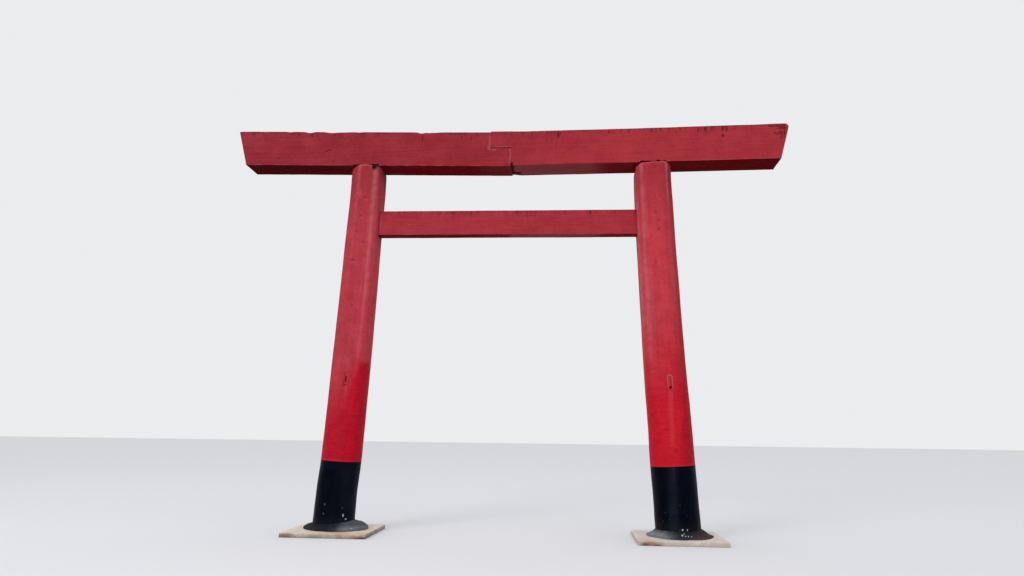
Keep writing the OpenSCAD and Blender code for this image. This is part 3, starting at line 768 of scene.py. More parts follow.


# Colours and marks of the two posts, and how much the patch's rim is rubbed pale and its inside darkened
# with painted shade. Pale lines along the arrises, partly worn paint and partly painted highlight, are
# (metres up, metres across) with their strength as (metres up, cover) and half their width. The repainted
# foot ends along (metres across, metres up) over a width given as (metres across, metres). Drips are (x,
# from, to, half width, strength)
LOG_MARKS = {
    "left": dict(
        faded=("#ac343f", "#c0414c"), fresh=("#aa0d22", "#be142b"), rim_cover=0.0,
        border=[(-0.22, 1.400), (-0.03, 1.440), (0.05, 1.570), (0.09, 1.680), (0.13, 1.735), (0.172, 1.750),
                (0.22, 1.755)],
        border_width=[(-0.22, 0.340), (-0.02, 0.330), (0.06, 0.260), (0.10, 0.150), (0.135, 0.045),
                      (0.22, 0.022)],
        painted_light_across=[(-0.22, 0.84), (-0.17, 0.92), (-0.08, 0.98), (0.02, 1.0), (0.07, 1.0), (0.11, 1.20),
                   (0.15, 1.24), (0.22, 1.18)],
        lines=[([(1.7, 0.112), (2.5, 0.126), (2.7, 0.124), (3.0, 0.120), (3.3, 0.118), (3.6, 0.114),
                 (4.0, 0.116)],
                [(1.6, 0.0), (1.8, 0.10), (2.4, 0.20), (2.6, 0.48), (4.0, 0.62)], 0.034),
               ([(3.0, -0.070), (4.0, -0.066)], [(3.2, 0.0), (3.65, 0.25), (4.0, 0.45)], 0.030),
               ([(2.9, 0.162), (3.1, 0.162), (3.3, 0.152), (3.5, 0.148), (3.7, 0.142), (3.9, 0.136)],
                [(2.7, 0.0), (2.9, 0.3), (3.6, 0.45), (3.95, 0.1)], 0.010),
               ([(2.3, 0.064), (3.0, 0.078), (4.0, 0.090)], [(2.2, 0.0), (2.6, 0.2), (4.0, 0.25)], 0.014)],
        drips=[(-1.706, 1.385, 1.56, 0.012, 0.30)],
        dark=[(-1.601, 3.652, 0.020, 0.018), (-1.642, 3.440, 0.020, 0.014), (-1.671, 3.254, 0.018, 0.016),
              (-1.601, 3.137, 0.018, 0.014), (-1.706, 2.928, 0.022, 0.015), (-1.546, 2.128, 0.012, 0.012)],
        knots=[(-1.690, 2.420, 0.018, 0.022)],
        deep=[(-1.714, 1.580, 0.014, 0.045), (-1.710, 1.515, 0.010, 0.010), (-1.520, 3.995, 0.036, 0.045)],
        pale=[(-1.655, 3.700, 0.016, 0.06), (-1.700, 3.560, 0.014, 0.05), (-1.585, 3.625, 0.016, 0.012),
              (-1.625, 3.415, 0.018, 0.012), (-1.690, 2.905, 0.022, 0.014)]),
    "right": dict(
        faded=("#b7353f", "#ca414c"), fresh=("#b81224", "#cc1b2e"), rim_cover=0.45,
        border=[(-0.23, 1.760), (-0.05, 1.820), (0.08, 1.890), (0.23, 1.880)],
        border_width=[(-0.23, 0.420), (0.0, 0.450), (0.23, 0.470)],
        painted_light_across=[(-0.23, 0.96), (-0.15, 1.0), (0.0, 1.03), (0.08, 1.0), (0.13, 0.88), (0.23, 0.92)],
        lines=[([(1.3, -0.150), (1.8, -0.156), (2.1, -0.148), (2.9, -0.148), (3.1, -0.138),
                 (3.3, -0.134), (3.7, -0.134), (4.0, -0.138)],
                [(1.4, 0.0), (1.9, 0.12), (2.6, 0.32), (3.4, 0.46), (4.0, 0.50)], 0.033),
               ([(2.5, -0.108), (3.3, -0.100), (4.0, -0.098)],
                [(2.4, 0.0), (2.8, 0.15), (3.7, 0.2), (3.9, 0.0)], 0.012),
               ([(2.2, 0.142), (2.7, 0.140), (4.0, 0.140)],
                [(2.0, 0.0), (2.6, 0.10), (3.3, 0.15), (3.7, 0.42), (4.0, 0.55)], 0.020),
               ([(2.0, -0.212), (4.0, -0.197)], [(2.0, 0.0), (2.4, 0.5), (3.3, 0.6), (3.8, 0.2)], 0.030),
               ([(1.5, -0.16), (3.0, -0.15)], [(1.7, 0.0), (2.1, 0.22), (2.5, 0.25), (3.0, 0.0)], 0.090)],
        drips=[(1.748, 0.900, 1.545, 0.036, 0.14), (1.736, 1.400, 1.53, 0.011, 0.16),
               (1.761, 1.380, 1.52, 0.011, 0.16)],
        dark=[(1.664, 3.367, 0.016, 0.016), (1.666, 3.267, 0.015, 0.015), (1.626, 2.898, 0.008, 0.030),
              (1.649, 3.977, 0.015, 0.009), (1.787, 0.904, 0.020, 0.022)],
        knots=[(1.632, 3.455, 0.022, 0.026)], deep=[(1.746, 1.560, 0.024, 0.028)],
        pale=[(1.615, 3.430, 0.022, 0.012)]),
}


def log_frame(post, x, z):
    """Across and along a post's bowed axis, for points of the gate."""
    lean, side = math.radians(post["lean"]), post["side"]
    dx, dz = x - side * POST_SPACING / 2, z - SLAB_T
    along = dz * math.cos(lean) - side * dx * math.sin(lean)
    across = dx * math.cos(lean) + side * dz * math.sin(lean)
    return across + side * read_off(post["bow"], along), along


def patch_middle(post):
    """Where a patch's arch has its centre: across the log without its bow, and along it."""
    lean, side = math.radians(post["lean"]), post["side"]
    middle = post["patch_foot"] + PATCH_H - PATCH_W / 2
    across = (post["patch_x"] - side * POST_SPACING / 2) / math.cos(lean) + side * middle * math.tan(lean)
    return across, middle


def log_paint(name, post, marks):
    """Oil paint brushed on a hewn cypress log: faded and chalky high up, where rain washed it in streaks,
    and brushed afresh round the foot, where the brush left ripples. Arrises and drips show paler."""
    material, tree, shader = new_material(name)
    place = add(tree, "ShaderNodeTexCoord").outputs["Object"]
    x, y, z = add(tree, "ShaderNodeSeparateXYZ", place).outputs
    across = add(tree, "ShaderNodeAttribute", attribute_name="across").outputs["Fac"]
    along = add(tree, "ShaderNodeAttribute", attribute_name="along").outputs["Fac"]
    on_log = add(tree, "ShaderNodeCombineXYZ", across, y, along)
    front = add(tree, "ShaderNodeMapRange", y, -0.02, -0.06, 0.25, 1.0)

    # Washed streaks 35 mm wide, mottling of 160 mm, and brush ripples 14 mm high on the fresh paint
    washed = drawn_out(tree, on_log, (28.0, 28.0, 1.6), Detail=4.0)
    mottle = add(tree, "ShaderNodeTexNoise",
                 into={"Vector": on_log, "Scale": 6.0, "Detail": 6.0, "Roughness": 0.62})
    ripple = drawn_out(tree, on_log, (9.0, 9.0, 62.0), Detail=2.0, Distortion=0.4)
    dab = add(tree, "ShaderNodeTexNoise", into={"Vector": on_log, "Scale": 42.0, "Detail": 2.0})

    # The repainted foot ends along a wandering border
    border = measured(tree, across, marks["border"])
    border_width = measured(tree, across, marks["border_width"])
    edge = sum_of(tree, (along, 1.0), (border, -1.0), (mottle, 0.16), (0.08, -1.0))
    edge = add(tree, "ShaderNodeMath", edge, border_width, operation="DIVIDE")
    fresh = add(tree, "ShaderNodeMapRange", edge, -1.0, 1.0, 1.0, 0.0)

    old_tone = sum_of(tree, (dab, 0.3), (washed, 0.25), (mottle, 0.45))
    old_tone = add(tree, "ShaderNodeMapRange", old_tone, 0.40, 0.60, 0.0, 1.0)
    new_tone = sum_of(tree, (dab, 0.3), (ripple, 0.4), (mottle, 0.3))
    new_tone = add(tree, "ShaderNodeMapRange", new_tone, 0.40, 0.60, 0.0, 1.0)
    new = layered(tree, marks["fresh"][0], [(new_tone, marks["fresh"][1])])
    colour = layered(tree, marks["faded"][0], [(old_tone, marks["faded"][1]), (fresh, new)])
    # Lighter and darker across the log: painted light and shade
    painted_light_across = measured(tree, across, marks["painted_light_across"])
    colour = add(tree, "ShaderNodeHueSaturation", into={"Value": painted_light_across, "Color": colour})

    # Under the beam the flanks are drawn darker, as painted shade; pale lines run along the arrises, partly
    # worn paint and partly painted highlight
    patchy = add(tree, "ShaderNodeTexNoise", into={"Vector": on_log, "Scale": 14.0, "Detail": 3.0})
    patchy = add(tree, "ShaderNodeMapRange", patchy, 0.38, 0.58, 0.35, 1.0)
    flank = measured(tree, y, [(-0.20, 0.0), (-0.09, 0.0), (0.0, 0.55), (0.10, 0.75), (0.19, 0.0)])
    layers = [(overlap(tree, flank, add(tree, "ShaderNodeMapRange", along, 3.60, 3.90, 0.0, 1.0)), "#7c101c")]
    for line, strength, half in marks["lines"]:
        away = apart(tree, across, measured(tree, along, line))
        away = add(tree, "ShaderNodeMapRange", away, half / 5, half, 0.65, 0.0,
                   interpolation_type="SMOOTHSTEP")
        layers.append((overlap(tree, away, measured(tree, along, strength), patchy, front), "#c27d84"))
    in_front = add(tree, "ShaderNodeMath", y, 0.0, operation="LESS_THAN")
    for drip_x, low, high, half, strength in marks["drips"]:
        away = add(tree, "ShaderNodeMapRange", apart(tree, x, drip_x), half / 3, half, strength, 0.0)
        above = add(tree, "ShaderNodeMapRange", z, low, low + 0.12, 0.0, 1.0)
        under = add(tree, "ShaderNodeMapRange", z, high - 0.02, high, 1.0, 0.0)
        layers.append((overlap(tree, away, above, under, in_front), "#c8646c"))

    # The head's upper edge is rubbed pale where the beam lies on it
    head = CLEAR_HEIGHT + HEAD_HOUSING - SLAB_T + BEAM_RISE * POST_SPACING / 2
    head /= math.cos(math.radians(post["lean"]))
    top_edge = add(tree, "ShaderNodeMapRange", along, head - 0.022, head - 0.010, 0.0, 0.5)
    layers.append((overlap(tree, top_edge, patchy), "#c98a90"))
    above_band = add(tree, "ShaderNodeMapRange", along, BAND_H, BAND_H + 0.035, 0.35, 0.0)
    layers.append((overlap(tree, above_band, front), "#d02a3a"))
    # Darker towards the head, under the beam: painted shade
    painted_head_shade = add(tree, "ShaderNodeMapRange", along, 3.2, head, 0.0, 0.55)

    shaken = ragged(tree, place)
    dark = spots(tree, shaken, LOG_FRONT, marks["dark"], 0.5)
    knots = spots(tree, shaken, LOG_FRONT, marks["knots"], 0.7)
    hearts = spots(tree, shaken, LOG_FRONT, [(x, z, a * 0.6, b * 0.6) for x, z, a, b in marks["knots"]], 0.7)
    pale = spots(tree, shaken, LOG_FRONT, marks["pale"], 0.3)
    # Holes, the slit and the chip at the left head are drawn near black inside: painted shade
    deep = spots(tree, place, HOLE_FRONT, marks["deep"], 0.9)
    layers += [(overlap(tree, pale, 0.35), "#c8666f"), (overlap(tree, dark, 0.42), "#701623"),
               (overlap(tree, knots, 0.45), "#7a1c28"), (overlap(tree, hearts, 0.7), "#a8404b")]

    # The rim of the patch, rubbed pale by hands and rain, and painted shade inside the rim
    across_patch, along_patch = patch_middle(post)
    across_patch += post["side"] * read_off(post["bow"], along_patch)
    beside = add(tree, "ShaderNodeMath", across, float(across_patch), operation="SUBTRACT")
    over = add(tree, "ShaderNodeMath", along, along_patch, operation="SUBTRACT")
    over = add(tree, "ShaderNodeMath", over, 0.0, operation="MAXIMUM")
    arch = diagonal(tree, beside, over)
    arch = add(tree, "ShaderNodeMath", arch, PATCH_W / 2 - 0.8 * PATCH_RIM, operation="SUBTRACT")
    rim = add(tree, "ShaderNodeMath", arch, operation="ABSOLUTE")
    rim = add(tree, "ShaderNodeMapRange", rim, PATCH_RIM / 4, PATCH_RIM / 2 + 0.003, marks["rim_cover"], 0.0)
    foot = post["patch_foot"]
    rim = overlap(tree, rim, add(tree, "ShaderNodeMapRange", along, foot, foot + PATCH_H, 0.35, 1.0))
    above = add(tree, "ShaderNodeMath", along, foot, operation="GREATER_THAN")
    # Darker inside the rim: painted shade
    inside = add(tree, "ShaderNodeMapRange", arch, -0.003, -0.010, 0.0, marks["rim_cover"])
    layers += [(overlap(tree, inside, in_front, above), "#8f3a47"),
               (overlap(tree, rim, in_front, above), "#cf8a90"), (deep, "#24060b")]

    relief = add(tree, "ShaderNodeMix", into={0: fresh, 2: old_tone, 3: new_tone}).outputs[0]
    relief = sum_of(tree, (relief, 1.0), (dark, -1.0), (knots, -1.0))
    plug(tree, shader, {
        "Base Color": layered(tree, colour, [(painted_head_shade, "#86222d")] + layers),
        "Normal": add(tree, "ShaderNodeBump", into={"Strength": 0.5, "Distance": 0.0014, "Height": relief}),
        "Roughness": add(tree, "ShaderNodeMapRange", fresh, 0.0, 1.0, 0.68, 0.55),
        "Specular IOR Level": 0.06})
    return material


# Chips and rubbed places of the root bands' paint, as (x, z, half width, half height)
BAND_CHIPS = [(-1.672, 0.198, 0.007, 0.018), (-1.649, 0.158, 0.009, 0.012), (1.826, 0.131, 0.009, 0.009),
              (1.874, 0.131, 0.006, 0.008)]
BAND_RUBS = [(-1.862, 0.312, 0.010, 0.012), (-1.872, 0.217, 0.009, 0.010), (-1.683, 0.272, 0.007, 0.010),
             (1.798, 0.129, 0.005, 0.006), (1.600, 0.222, 0.004, 0.007), (1.613, 0.192, 0.005, 0.006),
             (1.624, 0.232, 0.004, 0.005), (1.634, 0.182, 0.004, 0.006), (1.607, 0.166, 0.005, 0.007),
             (1.642, 0.208, 0.004, 0.005), (1.620, 0.152, 0.004, 0.005), (1.664, 0.290, 0.004, 0.005),
             (1.806, 0.368, 0.004, 0.005), (1.702, 0.228, 0.004, 0.004), (1.880, 0.262, 0.003, 0.004)]
BAND_DRIP = [(1.752, 0.69, 0.010, 0.10)]


def band_paint():
    """Black oil paint on sheet copper: nearly black with a blue cast, satin, a little lumpy, and chipped to
    pale primer near the ground."""
    material, tree, shader = new_material("black_oil_paint_on_sheet_copper")
    place = add(tree, "ShaderNodeTexCoord").outputs["Object"]
    cloud = add(tree, "ShaderNodeTexNoise",
                into={"Vector": place, "Scale": 9.0, "Detail": 5.0, "Roughness": 0.6})
    fine = add(tree, "ShaderNodeTexNoise", into={"Vector": place, "Scale": 70.0, "Detail": 3.0})
    thin = add(tree, "ShaderNodeMapRange", cloud, 0.40, 0.62, 0.0, 0.8)
    x, y, z = add(tree, "ShaderNodeSeparateXYZ", place).outputs
    # Splashed earth and rubbed paint, densest near the ground
    low = add(tree, "ShaderNodeMapRange", z, 0.08, 0.42, 1.0, 0.0)
    specks = add(tree, "ShaderNodeTexVoronoi", into={"Vector": place, "Scale": 34.0}).outputs["Distance"]
    specks = add(tree, "ShaderNodeMapRange", specks, 0.05, 0.16, 1.0, 0.0)
    sparse = add(tree, "ShaderNodeTexNoise", into={"Vector": place, "Scale": 12.0, "Detail": 2.0})
    sparse = add(tree, "ShaderNodeMapRange", sparse, 0.52, 0.64, 0.0, 0.35)
    specks = overlap(tree, specks, sparse, low)
    dust = overlap(tree, add(tree, "ShaderNodeMapRange", z, 0.06, 0.22, 0.22, 0.0), fine)
    shaken = ragged(tree, place)
    chips = overlap(tree, spots(tree, shaken, LOG_FRONT, BAND_CHIPS), 0.95)
    rubs = overlap(tree, spots(tree, shaken, LOG_FRONT, BAND_RUBS), 0.42)
    drip = overlap(tree, spots(tree, shaken, LOG_FRONT, BAND_DRIP, 0.1), 0.35)
    # Broad lighter runs down the fronts: painted highlight
    painted_highlight_runs = measured(tree, x, [(-2.1, 0.0), (-1.82, 0.0), (-1.72, 0.12), (-1.63, 0.6), (-1.5, 0.3),
                                (1.66, 0.0), (1.74, 0.9), (1.82, 0.0), (2.1, 0.0)])
    painted_highlight_runs = overlap(tree, painted_highlight_runs, add(tree, "ShaderNodeMapRange", cloud, 0.35, 0.60, 0.5, 1.0),
                     add(tree, "ShaderNodeMath", y, 0.0, operation="LESS_THAN"))
    relief = sum_of(tree, (cloud, 1.0), (fine, 0.35))
    plug(tree, shader, {
        "Base Color": layered(tree, "#01030b", [
            (thin, "#040918"), (painted_highlight_runs, "#141924"), (dust, "#4a4742"), (specks, "#7b7d80"), (drip, "#2b303d"),
            (rubs, "#6a6e6c"), (chips, "#b9bcbd")]),
        "Normal": add(tree, "ShaderNodeBump", into={"Strength": 0.5, "Distance": 0.002, "Height": relief}),
        "Roughness": add(tree, "ShaderNodeMapRange", cloud, 0.35, 0.65, 0.32, 0.46),
        "Specular IOR Level": 0.03})
    return material


def mortar(name, dark, pale, paleness, soaked, chips):
    """Cement mortar trowelled round the foot and weathered dark: matt and lumpy, with sand grains of 2 to
    4 mm that are drawn 9 mm wide. It is dustier on one side; black paint is smeared over it in places and has
    run over its upper part. Its dark colours are the base, the lighter grain and the thin rim."""
    material, tree, shader = new_material(name)
    place = add(tree, "ShaderNodeTexCoord").outputs["Object"]
    lumps = add(tree, "ShaderNodeTexNoise",
                into={"Vector": place, "Scale": 16.0, "Detail": 6.0, "Roughness": 0.65})
    sand = add(tree, "ShaderNodeTexNoise", into={"Vector": place, "Scale": 110.0, "Detail": 2.0})
    tone = sum_of(tree, (sand, 0.35), (lumps, 0.65))
    tone = add(tree, "ShaderNodeMapRange", tone, 0.40, 0.62, 0.0, 1.0)
    x, _, z = add(tree, "ShaderNodeSeparateXYZ", place).outputs
    dusty = overlap(tree, measured(tree, x, paleness),
                    add(tree, "ShaderNodeMapRange", tone, 0.0, 1.0, 0.40, 1.0))
    thin = add(tree, "ShaderNodeMapRange", z, SLAB_T + 0.012, SLAB_T + 0.030, 0.45, 0.0)
    thin = overlap(tree, thin, add(tree, "ShaderNodeMapRange", lumps, 0.42, 0.60, 0.2, 1.0))
    rusty = add(tree, "ShaderNodeMapRange", x, 1.90, 2.05, 0.0, 0.85)
    run = add(tree, "ShaderNodeMath", lumps, 0.05, z, operation="MULTIPLY_ADD")
    run = add(tree, "ShaderNodeMapRange", run, SLAB_T + 0.060, SLAB_T + 0.082, 0.0, 0.55)
    smeared = overlap(tree, measured(tree, x, soaked),
                      add(tree, "ShaderNodeMapRange", lumps, 0.40, 0.60, 0.55, 1.0))
    white = overlap(tree, spots(tree, ragged(tree, place), COLLAR_FRONT, chips), 0.85)
    plug(tree, shader, {
        "Base Color": layered(tree, dark[0], [
            (tone, dark[1]), (dusty, pale), (thin, dark[2]), (rusty, "#452529"), (smeared, "#0c0e15"),
            (run, "#0a0c13"), (white, "#b4b3b0")]),
        "Normal": add(tree, "ShaderNodeBump", into={"Strength": 0.7, "Distance": 0.004, "Height": tone}),
        "Roughness": 0.85,
        "Specular IOR Level": 0.2})
    return material


def granite(name, stone, edge_colour, edge_cover, stains, blush):
    """Sawn granite, weathered: matt and pale, with grains of 2 to 5 mm drawn 8 mm wide, earth along the
    lower edge, rust that ran down the front and a warm blush above it. Its stone colours are the base, the
    light grains and the soiled places."""
    material, tree, shader = new_material(name)
    texture = add(tree, "ShaderNodeTexCoord")
    place = texture.outputs["Object"]
    facing = add(tree, "ShaderNodeSeparateXYZ", texture.outputs["Normal"]).outputs
    z = add(tree, "ShaderNodeSeparateXYZ", place).outputs["Z"]
    cloud = add(tree, "ShaderNodeTexNoise",
                into={"Vector": place, "Scale": 7.0, "Detail": 6.0, "Roughness": 0.62})
    grains = add(tree, "ShaderNodeTexVoronoi", into={"Vector": place, "Scale": 125.0}, feature="F1")
    grain = add(tree, "ShaderNodeSeparateColor", grains.outputs["Color"]).outputs[0]
    dark_grain = add(tree, "ShaderNodeMapRange", grain, 0.80, 0.86, 0.0, 0.45)
    light_grain = add(tree, "ShaderNodeMapRange", grain, 0.30, 0.22, 0.0, 0.5)
    soil = add(tree, "ShaderNodeMapRange", cloud, 0.46, 0.64, 0.0, 0.55)
    side_face = add(tree, "ShaderNodeMapRange", facing["Z"], 0.75, 0.35, 0.0, 1.0)
    earthy = add(tree, "ShaderNodeMapRange", z, 0.0, SLAB_T, 1.0, 0.35)
    earthy = overlap(tree, side_face, earthy, edge_cover)
    earthy = overlap(tree, earthy, add(tree, "ShaderNodeMapRange", cloud, 0.36, 0.56, 0.55, 1.0))
    shaken = ragged(tree, place, 60.0)
    rust = overlap(tree, spots(tree, shaken, SLAB_FRONT, stains[0], 0.3), 0.75)
    deep_rust = overlap(tree, spots(tree, shaken, SLAB_FRONT, stains[1], 0.3), 0.85)
    warm = overlap(tree, spots(tree, shaken, SLAB_TOP, blush, 0.2), 0.55)
    relief = sum_of(tree, (cloud, 1.0), (grain, 0.25))
    plug(tree, shader, {
        "Base Color": layered(tree, stone[0], [
            (light_grain, stone[1]), (dark_grain, "#8f8378"), (soil, stone[2]), (warm, "#bf8f72"),
            (earthy, edge_colour), (rust, "#85532f"), (deep_rust, "#4a2f1e")]),
        "Normal": add(tree, "ShaderNodeBump", into={"Strength": 0.5, "Distance": 0.002, "Height": relief}),
        "Roughness": 0.88,
        "Specular IOR Level": 0.3})
    return material


# Top beam

# Half the length at mid-span over which the beam's slope sets in
RISE_ONSET = 0.15

# Hollows in the top of the left half: distance from mid-span, depth, half length
LEFT_HOLLOWS = [(2.270, 0.013, 0.075), (2.020, 0.009, 0.10), (1.930, 0.006, 0.20), (0.975, 0.011, 0.055),
                (0.880, 0.008, 0.19), (1.690, 0.005, 0.06), (2.500, 0.005, 0.06), (3.110, 0.005, 0.06)]

# How much higher the top stands than a level beam's, along the gate, and the height over which that fades
TOP_RISE = [(-3.2, 0.014), (-2.8, 0.014), (-2.35, 0.0115), (-1.9, 0.0105), (-1.45, 0.009), (0.0, 0.0085),
            (0.47, 0.006), (0.92, 0.0045), (1.38, 0.0055), (1.83, 0.0065), (2.28, 0.0095), (2.73, 0.007),
            (2.98, 0.012), (3.2, 0.012)]
TOP_FADE = 0.09

# The lap: play at its seat, how far back its notch goes, the right half's broken lower corner, and the
# longer tear behind that, which starts further back
SEAT_PLAY = 0.0004
NOTCH_BACK = 0.148
BROKEN_LENGTH = 0.030
BROKEN_HEIGHT = 0.034
TEAR_LENGTH = 0.100
TEAR_FRONT = 0.060

# How much lower the backs hang: the left half's, and the right half's at mid-span and for each metre more
LEFT_SAG = 0.004
RIGHT_SAG = 0.013
SAG_GROWTH = 0.0015

# Length over which the slanted ends set in, and the worn top corner of the right one
END_LENGTH = 0.6
ROUND_LENGTH = 0.05
ROUND_HEIGHT = 0.035
ROUND_DEPTH = 0.022

# Dents: how much wider than their marks, how deep in the beam and the logs, how far back they are felt,
# and where the logs' fronts lie
DENT_MARGIN = 0.006
BEAM_DENT = 0.0025
LOG_DENT = 0.005
DENT_FADE = 0.08
LOG_DENT_FRONT = -0.19

# Height of the beam as it is painted, which counts in that its top stands higher
PAINTED_H = BEAM_H + 0.005

# Cutters round a post's head: how far the housing's reaches down and up along the log, how far the gaps
# over the head reach down, and the depths between which they lie
HOUSING_DOWN = 0.10
HOUSING_UP = 0.04
GAP_DOWN = 0.05
GAP_DEPTHS = (-0.24, -0.125)


def beam_rise(x):
    """Height that the beam's slope adds at a distance from mid-span."""
    return BEAM_RISE * np.hypot(x, RISE_ONSET)


def lap_cells(side, upper, lower, seat, x, y, z):
    """Which cells of a half's grid are wood: those on its own side of the lap, but for its worn corner."""
    step = np.where(z > seat, upper, lower)
    in_notch = y < NOTCH_BACK
    if side < 0:
        return (x < step) & ~((x - lower > -ARRIS) & (z < ARRIS) & in_notch)
    torn = 0.006 * np.sin(y * 41) + 0.004 * np.sin(y * 97 + 1)
    broken = (x - lower < BROKEN_LENGTH + torn) & (z < BROKEN_HEIGHT + torn) & in_notch
    tear = (x - lower < TEAR_LENGTH + 2 * torn) & (z < BROKEN_HEIGHT) & (y > TEAR_FRONT) & in_notch
    return (x > step) & ~broken & ~tear


def beam_half(side, node):
    """One half of the top beam with its side of the lap, in place."""
    gap = side * LAP_GAP / 2
    upper, lower = LAP_UPPER_X + gap, LAP_LOWER_X + gap
    seat = LAP_SEAT - SEAT_PLAY * side
    # The grid has lines on the steps of the lap and beside them
    if side < 0:
        marks = [-BEAM_REACH, -BEAM_REACH + ARRIS, upper - 0.05, upper, lower - 0.04, lower]
    else:
        marks = [upper, upper + 0.04, lower, lower + 0.06, BEAM_REACH - ARRIS, BEAM_REACH]
    xs = ruler(marks, GRID)
    ys = edged_ruler(-BEAM_D / 2, BEAM_D / 2, ARRIS)
    zs = ruler([0, ARRIS, seat - 0.02, seat, seat + 0.02, BEAM_H - ARRIS, BEAM_H], GRID)
    middles = [(lines[1:] + lines[:-1]) / 2 for lines in (xs, ys, zs)]
    kept = lap_cells(side, upper, lower, seat, *np.meshgrid(*middles, indexing="ij"))
    points, faces = hewn_block(xs, ys, zs, kept)
    # The faces of the lap stay sharp but for the worn corner, so that the halves close on each other
    firm = (points[:, 2] > 0.04) | (points[:, 1] > 0.14)
    firm &= np.abs(points[:, 0] - (upper + lower) / 2) < (lower - upper) / 2 + 0.015
    x, y, z = soften(points, faces, 2, firm).T
    if side < 0:
        # The seat is worn hollow, which opens a thin dark line
        z = z - 0.001 * (np.abs(z - seat) < 0.003) * fall(x + 0.05, 0.02, flat=0.07)
    else:
        # The strip left at the back of the notch closes on the other half
        x = x - 0.003 * (np.abs(x - lower) < 0.004) * (y > 0.145) * (z < 0.06)
    top = np.clip((z - BEAM_H + TOP_FADE) / TOP_FADE, 0, 1)
    z = z + top * read_off(TOP_RISE, x)
    if side < 0:
        for place, deep, half in LEFT_HOLLOWS:
            z = z - deep * top * fall(x + place - 0.1 * y, half)
    # The halves are a little twisted, so that their backs hang lower
    sag = LEFT_SAG if side < 0 else (RIGHT_SAG + SAG_GROWTH * x) * np.clip((x - lower) / 0.1, 0, 1)
    z = z - sag * (y / BEAM_D + 0.5)
    out = np.clip((np.abs(x) - BEAM_REACH + END_LENGTH) / END_LENGTH, 0, 1)
    x = x - side * END_SLANT * (1 - z / BEAM_H) * out
    if side > 0:
        high = np.clip((z - BEAM_H + ROUND_HEIGHT) / ROUND_HEIGHT, 0, 1.2) ** 2
        x = x - ROUND_DEPTH * high * np.clip((x - BEAM_REACH + ROUND_LENGTH) / ROUND_LENGTH, 0, 1)
    z = z + beam_rise(x) + CLEAR_HEIGHT
    if side > 0:
        # It stands higher than the left half, most near mid-span
        z = z + RIGHT_LIFT + 0.003 * fall(x, 0.7, flat=0.7)
    timber = new_object(node + "_timber", np.stack([x, y, z], 1), faces)
    return grow(timber, worked_face, **{"Scallop Depth": 0.0008, "Wave Depth": 0.0012, "Seed": 2.0 + side})


def dented(obj, front, marks, depth):
    """Pushes shallow dents into the front of a piece at its listed marks."""
    points = at_points(obj)
    near_front = fall(points[:, 1] - front, DENT_FADE)
    for x, z, half_x, half_z in marks:
        distance = np.hypot((points[:, 0] - x) / (half_x + DENT_MARGIN),
                            (points[:, 2] - z) / (half_z + DENT_MARGIN))
        points[:, 1] += depth * near_front * fall(distance, 1.2)
    move_points(obj, points)


def head_outline(post, along, grow_by):
    """Ring of a hewn log at a height, as distances across and deep, with some room round it."""
    angles = np.linspace(0, 2 * np.pi, 97)[:-1]
    turn = math.radians(post["face_turn"])
    taper = (post["head_r"] - post["foot_r"]) * along / TAPER_LENGTH
    log = post["foot_r"] + taper + read_off(post["swell"], along)
    face = read_off(post["face_flat"], along) / np.maximum(np.abs(np.sin(angles - turn)), 0.01)
    flank = read_off(post["side_flat"], along) / np.maximum(np.abs(np.cos(angles)), 0.01)
    worn = read_off(HEAD_ROUND, HEAD_HOUSING) * (FRONT_WEAR + (1 - FRONT_WEAR) * np.abs(np.cos(angles)))
    radius = np.minimum(np.minimum(log, face), flank) - worn + grow_by
    return radius * np.cos(angles), radius * np.sin(angles)


def log_place(post, across, depth, along):
    """Point of the gate that lies across, depth and along in a post's leaning frame."""
    lean, side = math.radians(post["lean"]), post["side"]
    return (side * (POST_SPACING / 2 - along * math.sin(lean)) + across * math.cos(lean), depth,
            SLAB_T + along * math.cos(lean) + side * across * math.sin(lean))


def over_head(post, across, depth, along, more):
    """Point above a place on the log, and so much more above the seat that its head has in the top beam."""
    x = log_place(post, across, depth, along)[0]
    return x, depth, CLEAR_HEIGHT + post["lift"] + beam_rise(x) + HEAD_HOUSING + more


def head_housing(post):
    """Cutter for the seat of a post's head in the underside of the top beam, a little wider than the head."""
    ring = list(zip(*head_outline(post, TAPER_LENGTH, HEAD_GAP)))
    return closed_prism([log_place(post, a, d, TAPER_LENGTH - HOUSING_DOWN) for a, d in ring],
                        [over_head(post, a, d, TAPER_LENGTH + HOUSING_UP, HEAD_GAP) for a, d in ring])


def head_gap(post, *outline):
    """Cutter at the front of a post's head, outlined by places across and above the head's end."""
    return closed_prism(*[[over_head(post, across, depth, TAPER_LENGTH, more) for across, more in outline]
                          for depth in GAP_DEPTHS])


for name, post in POSTS.items():
    node = "kasagi_" + name
    beam = beam_half(post["side"], node)
    cut(beam, head_housing(post))
    for left, right, low, high in post["gaps"]:
        cut(beam, head_gap(post, (left, -GAP_DOWN), (right, -GAP_DOWN), (right, high), (left, low)))
    dented(beam, -BEAM_D / 2, BEAM_MARKS[node]["dark"], BEAM_DENT)
    points = at_points(beam)
    set_attribute(beam, "up", points[:, 2] - beam_rise(points[:, 0]) - CLEAR_HEIGHT - post["lift"])
    coat = beam_paint("oil_paint_on_hewn_cypress_" + name, node, PAINTED_H, BEAM_D,
                      CLEAR_HEIGHT + BEAM_RISE * BEAM_REACH)
    dress(beam, node, coat)


# Posts, bands and patches

# Depth in front of the gate at which cutters start, how far out the tie beam's housings reach,
# and how much of a patch is left behind its hole
CUTTER_FRONT = -0.35
HOUSING_REACH = 1.62
HOLE_FLOOR = 0.006


def front_prism(post, outline, depth_to):
    """Cutter that stands in the front of a post, square to the log. Its outline is given by distances
    across from the patch's middle and along the log."""
    centre = patch_middle(post)[0]
    return closed_prism(*[[log_place(post, centre + a, depth, b) for a, b in outline]
                          for depth in (CUTTER_FRONT, depth_to)])


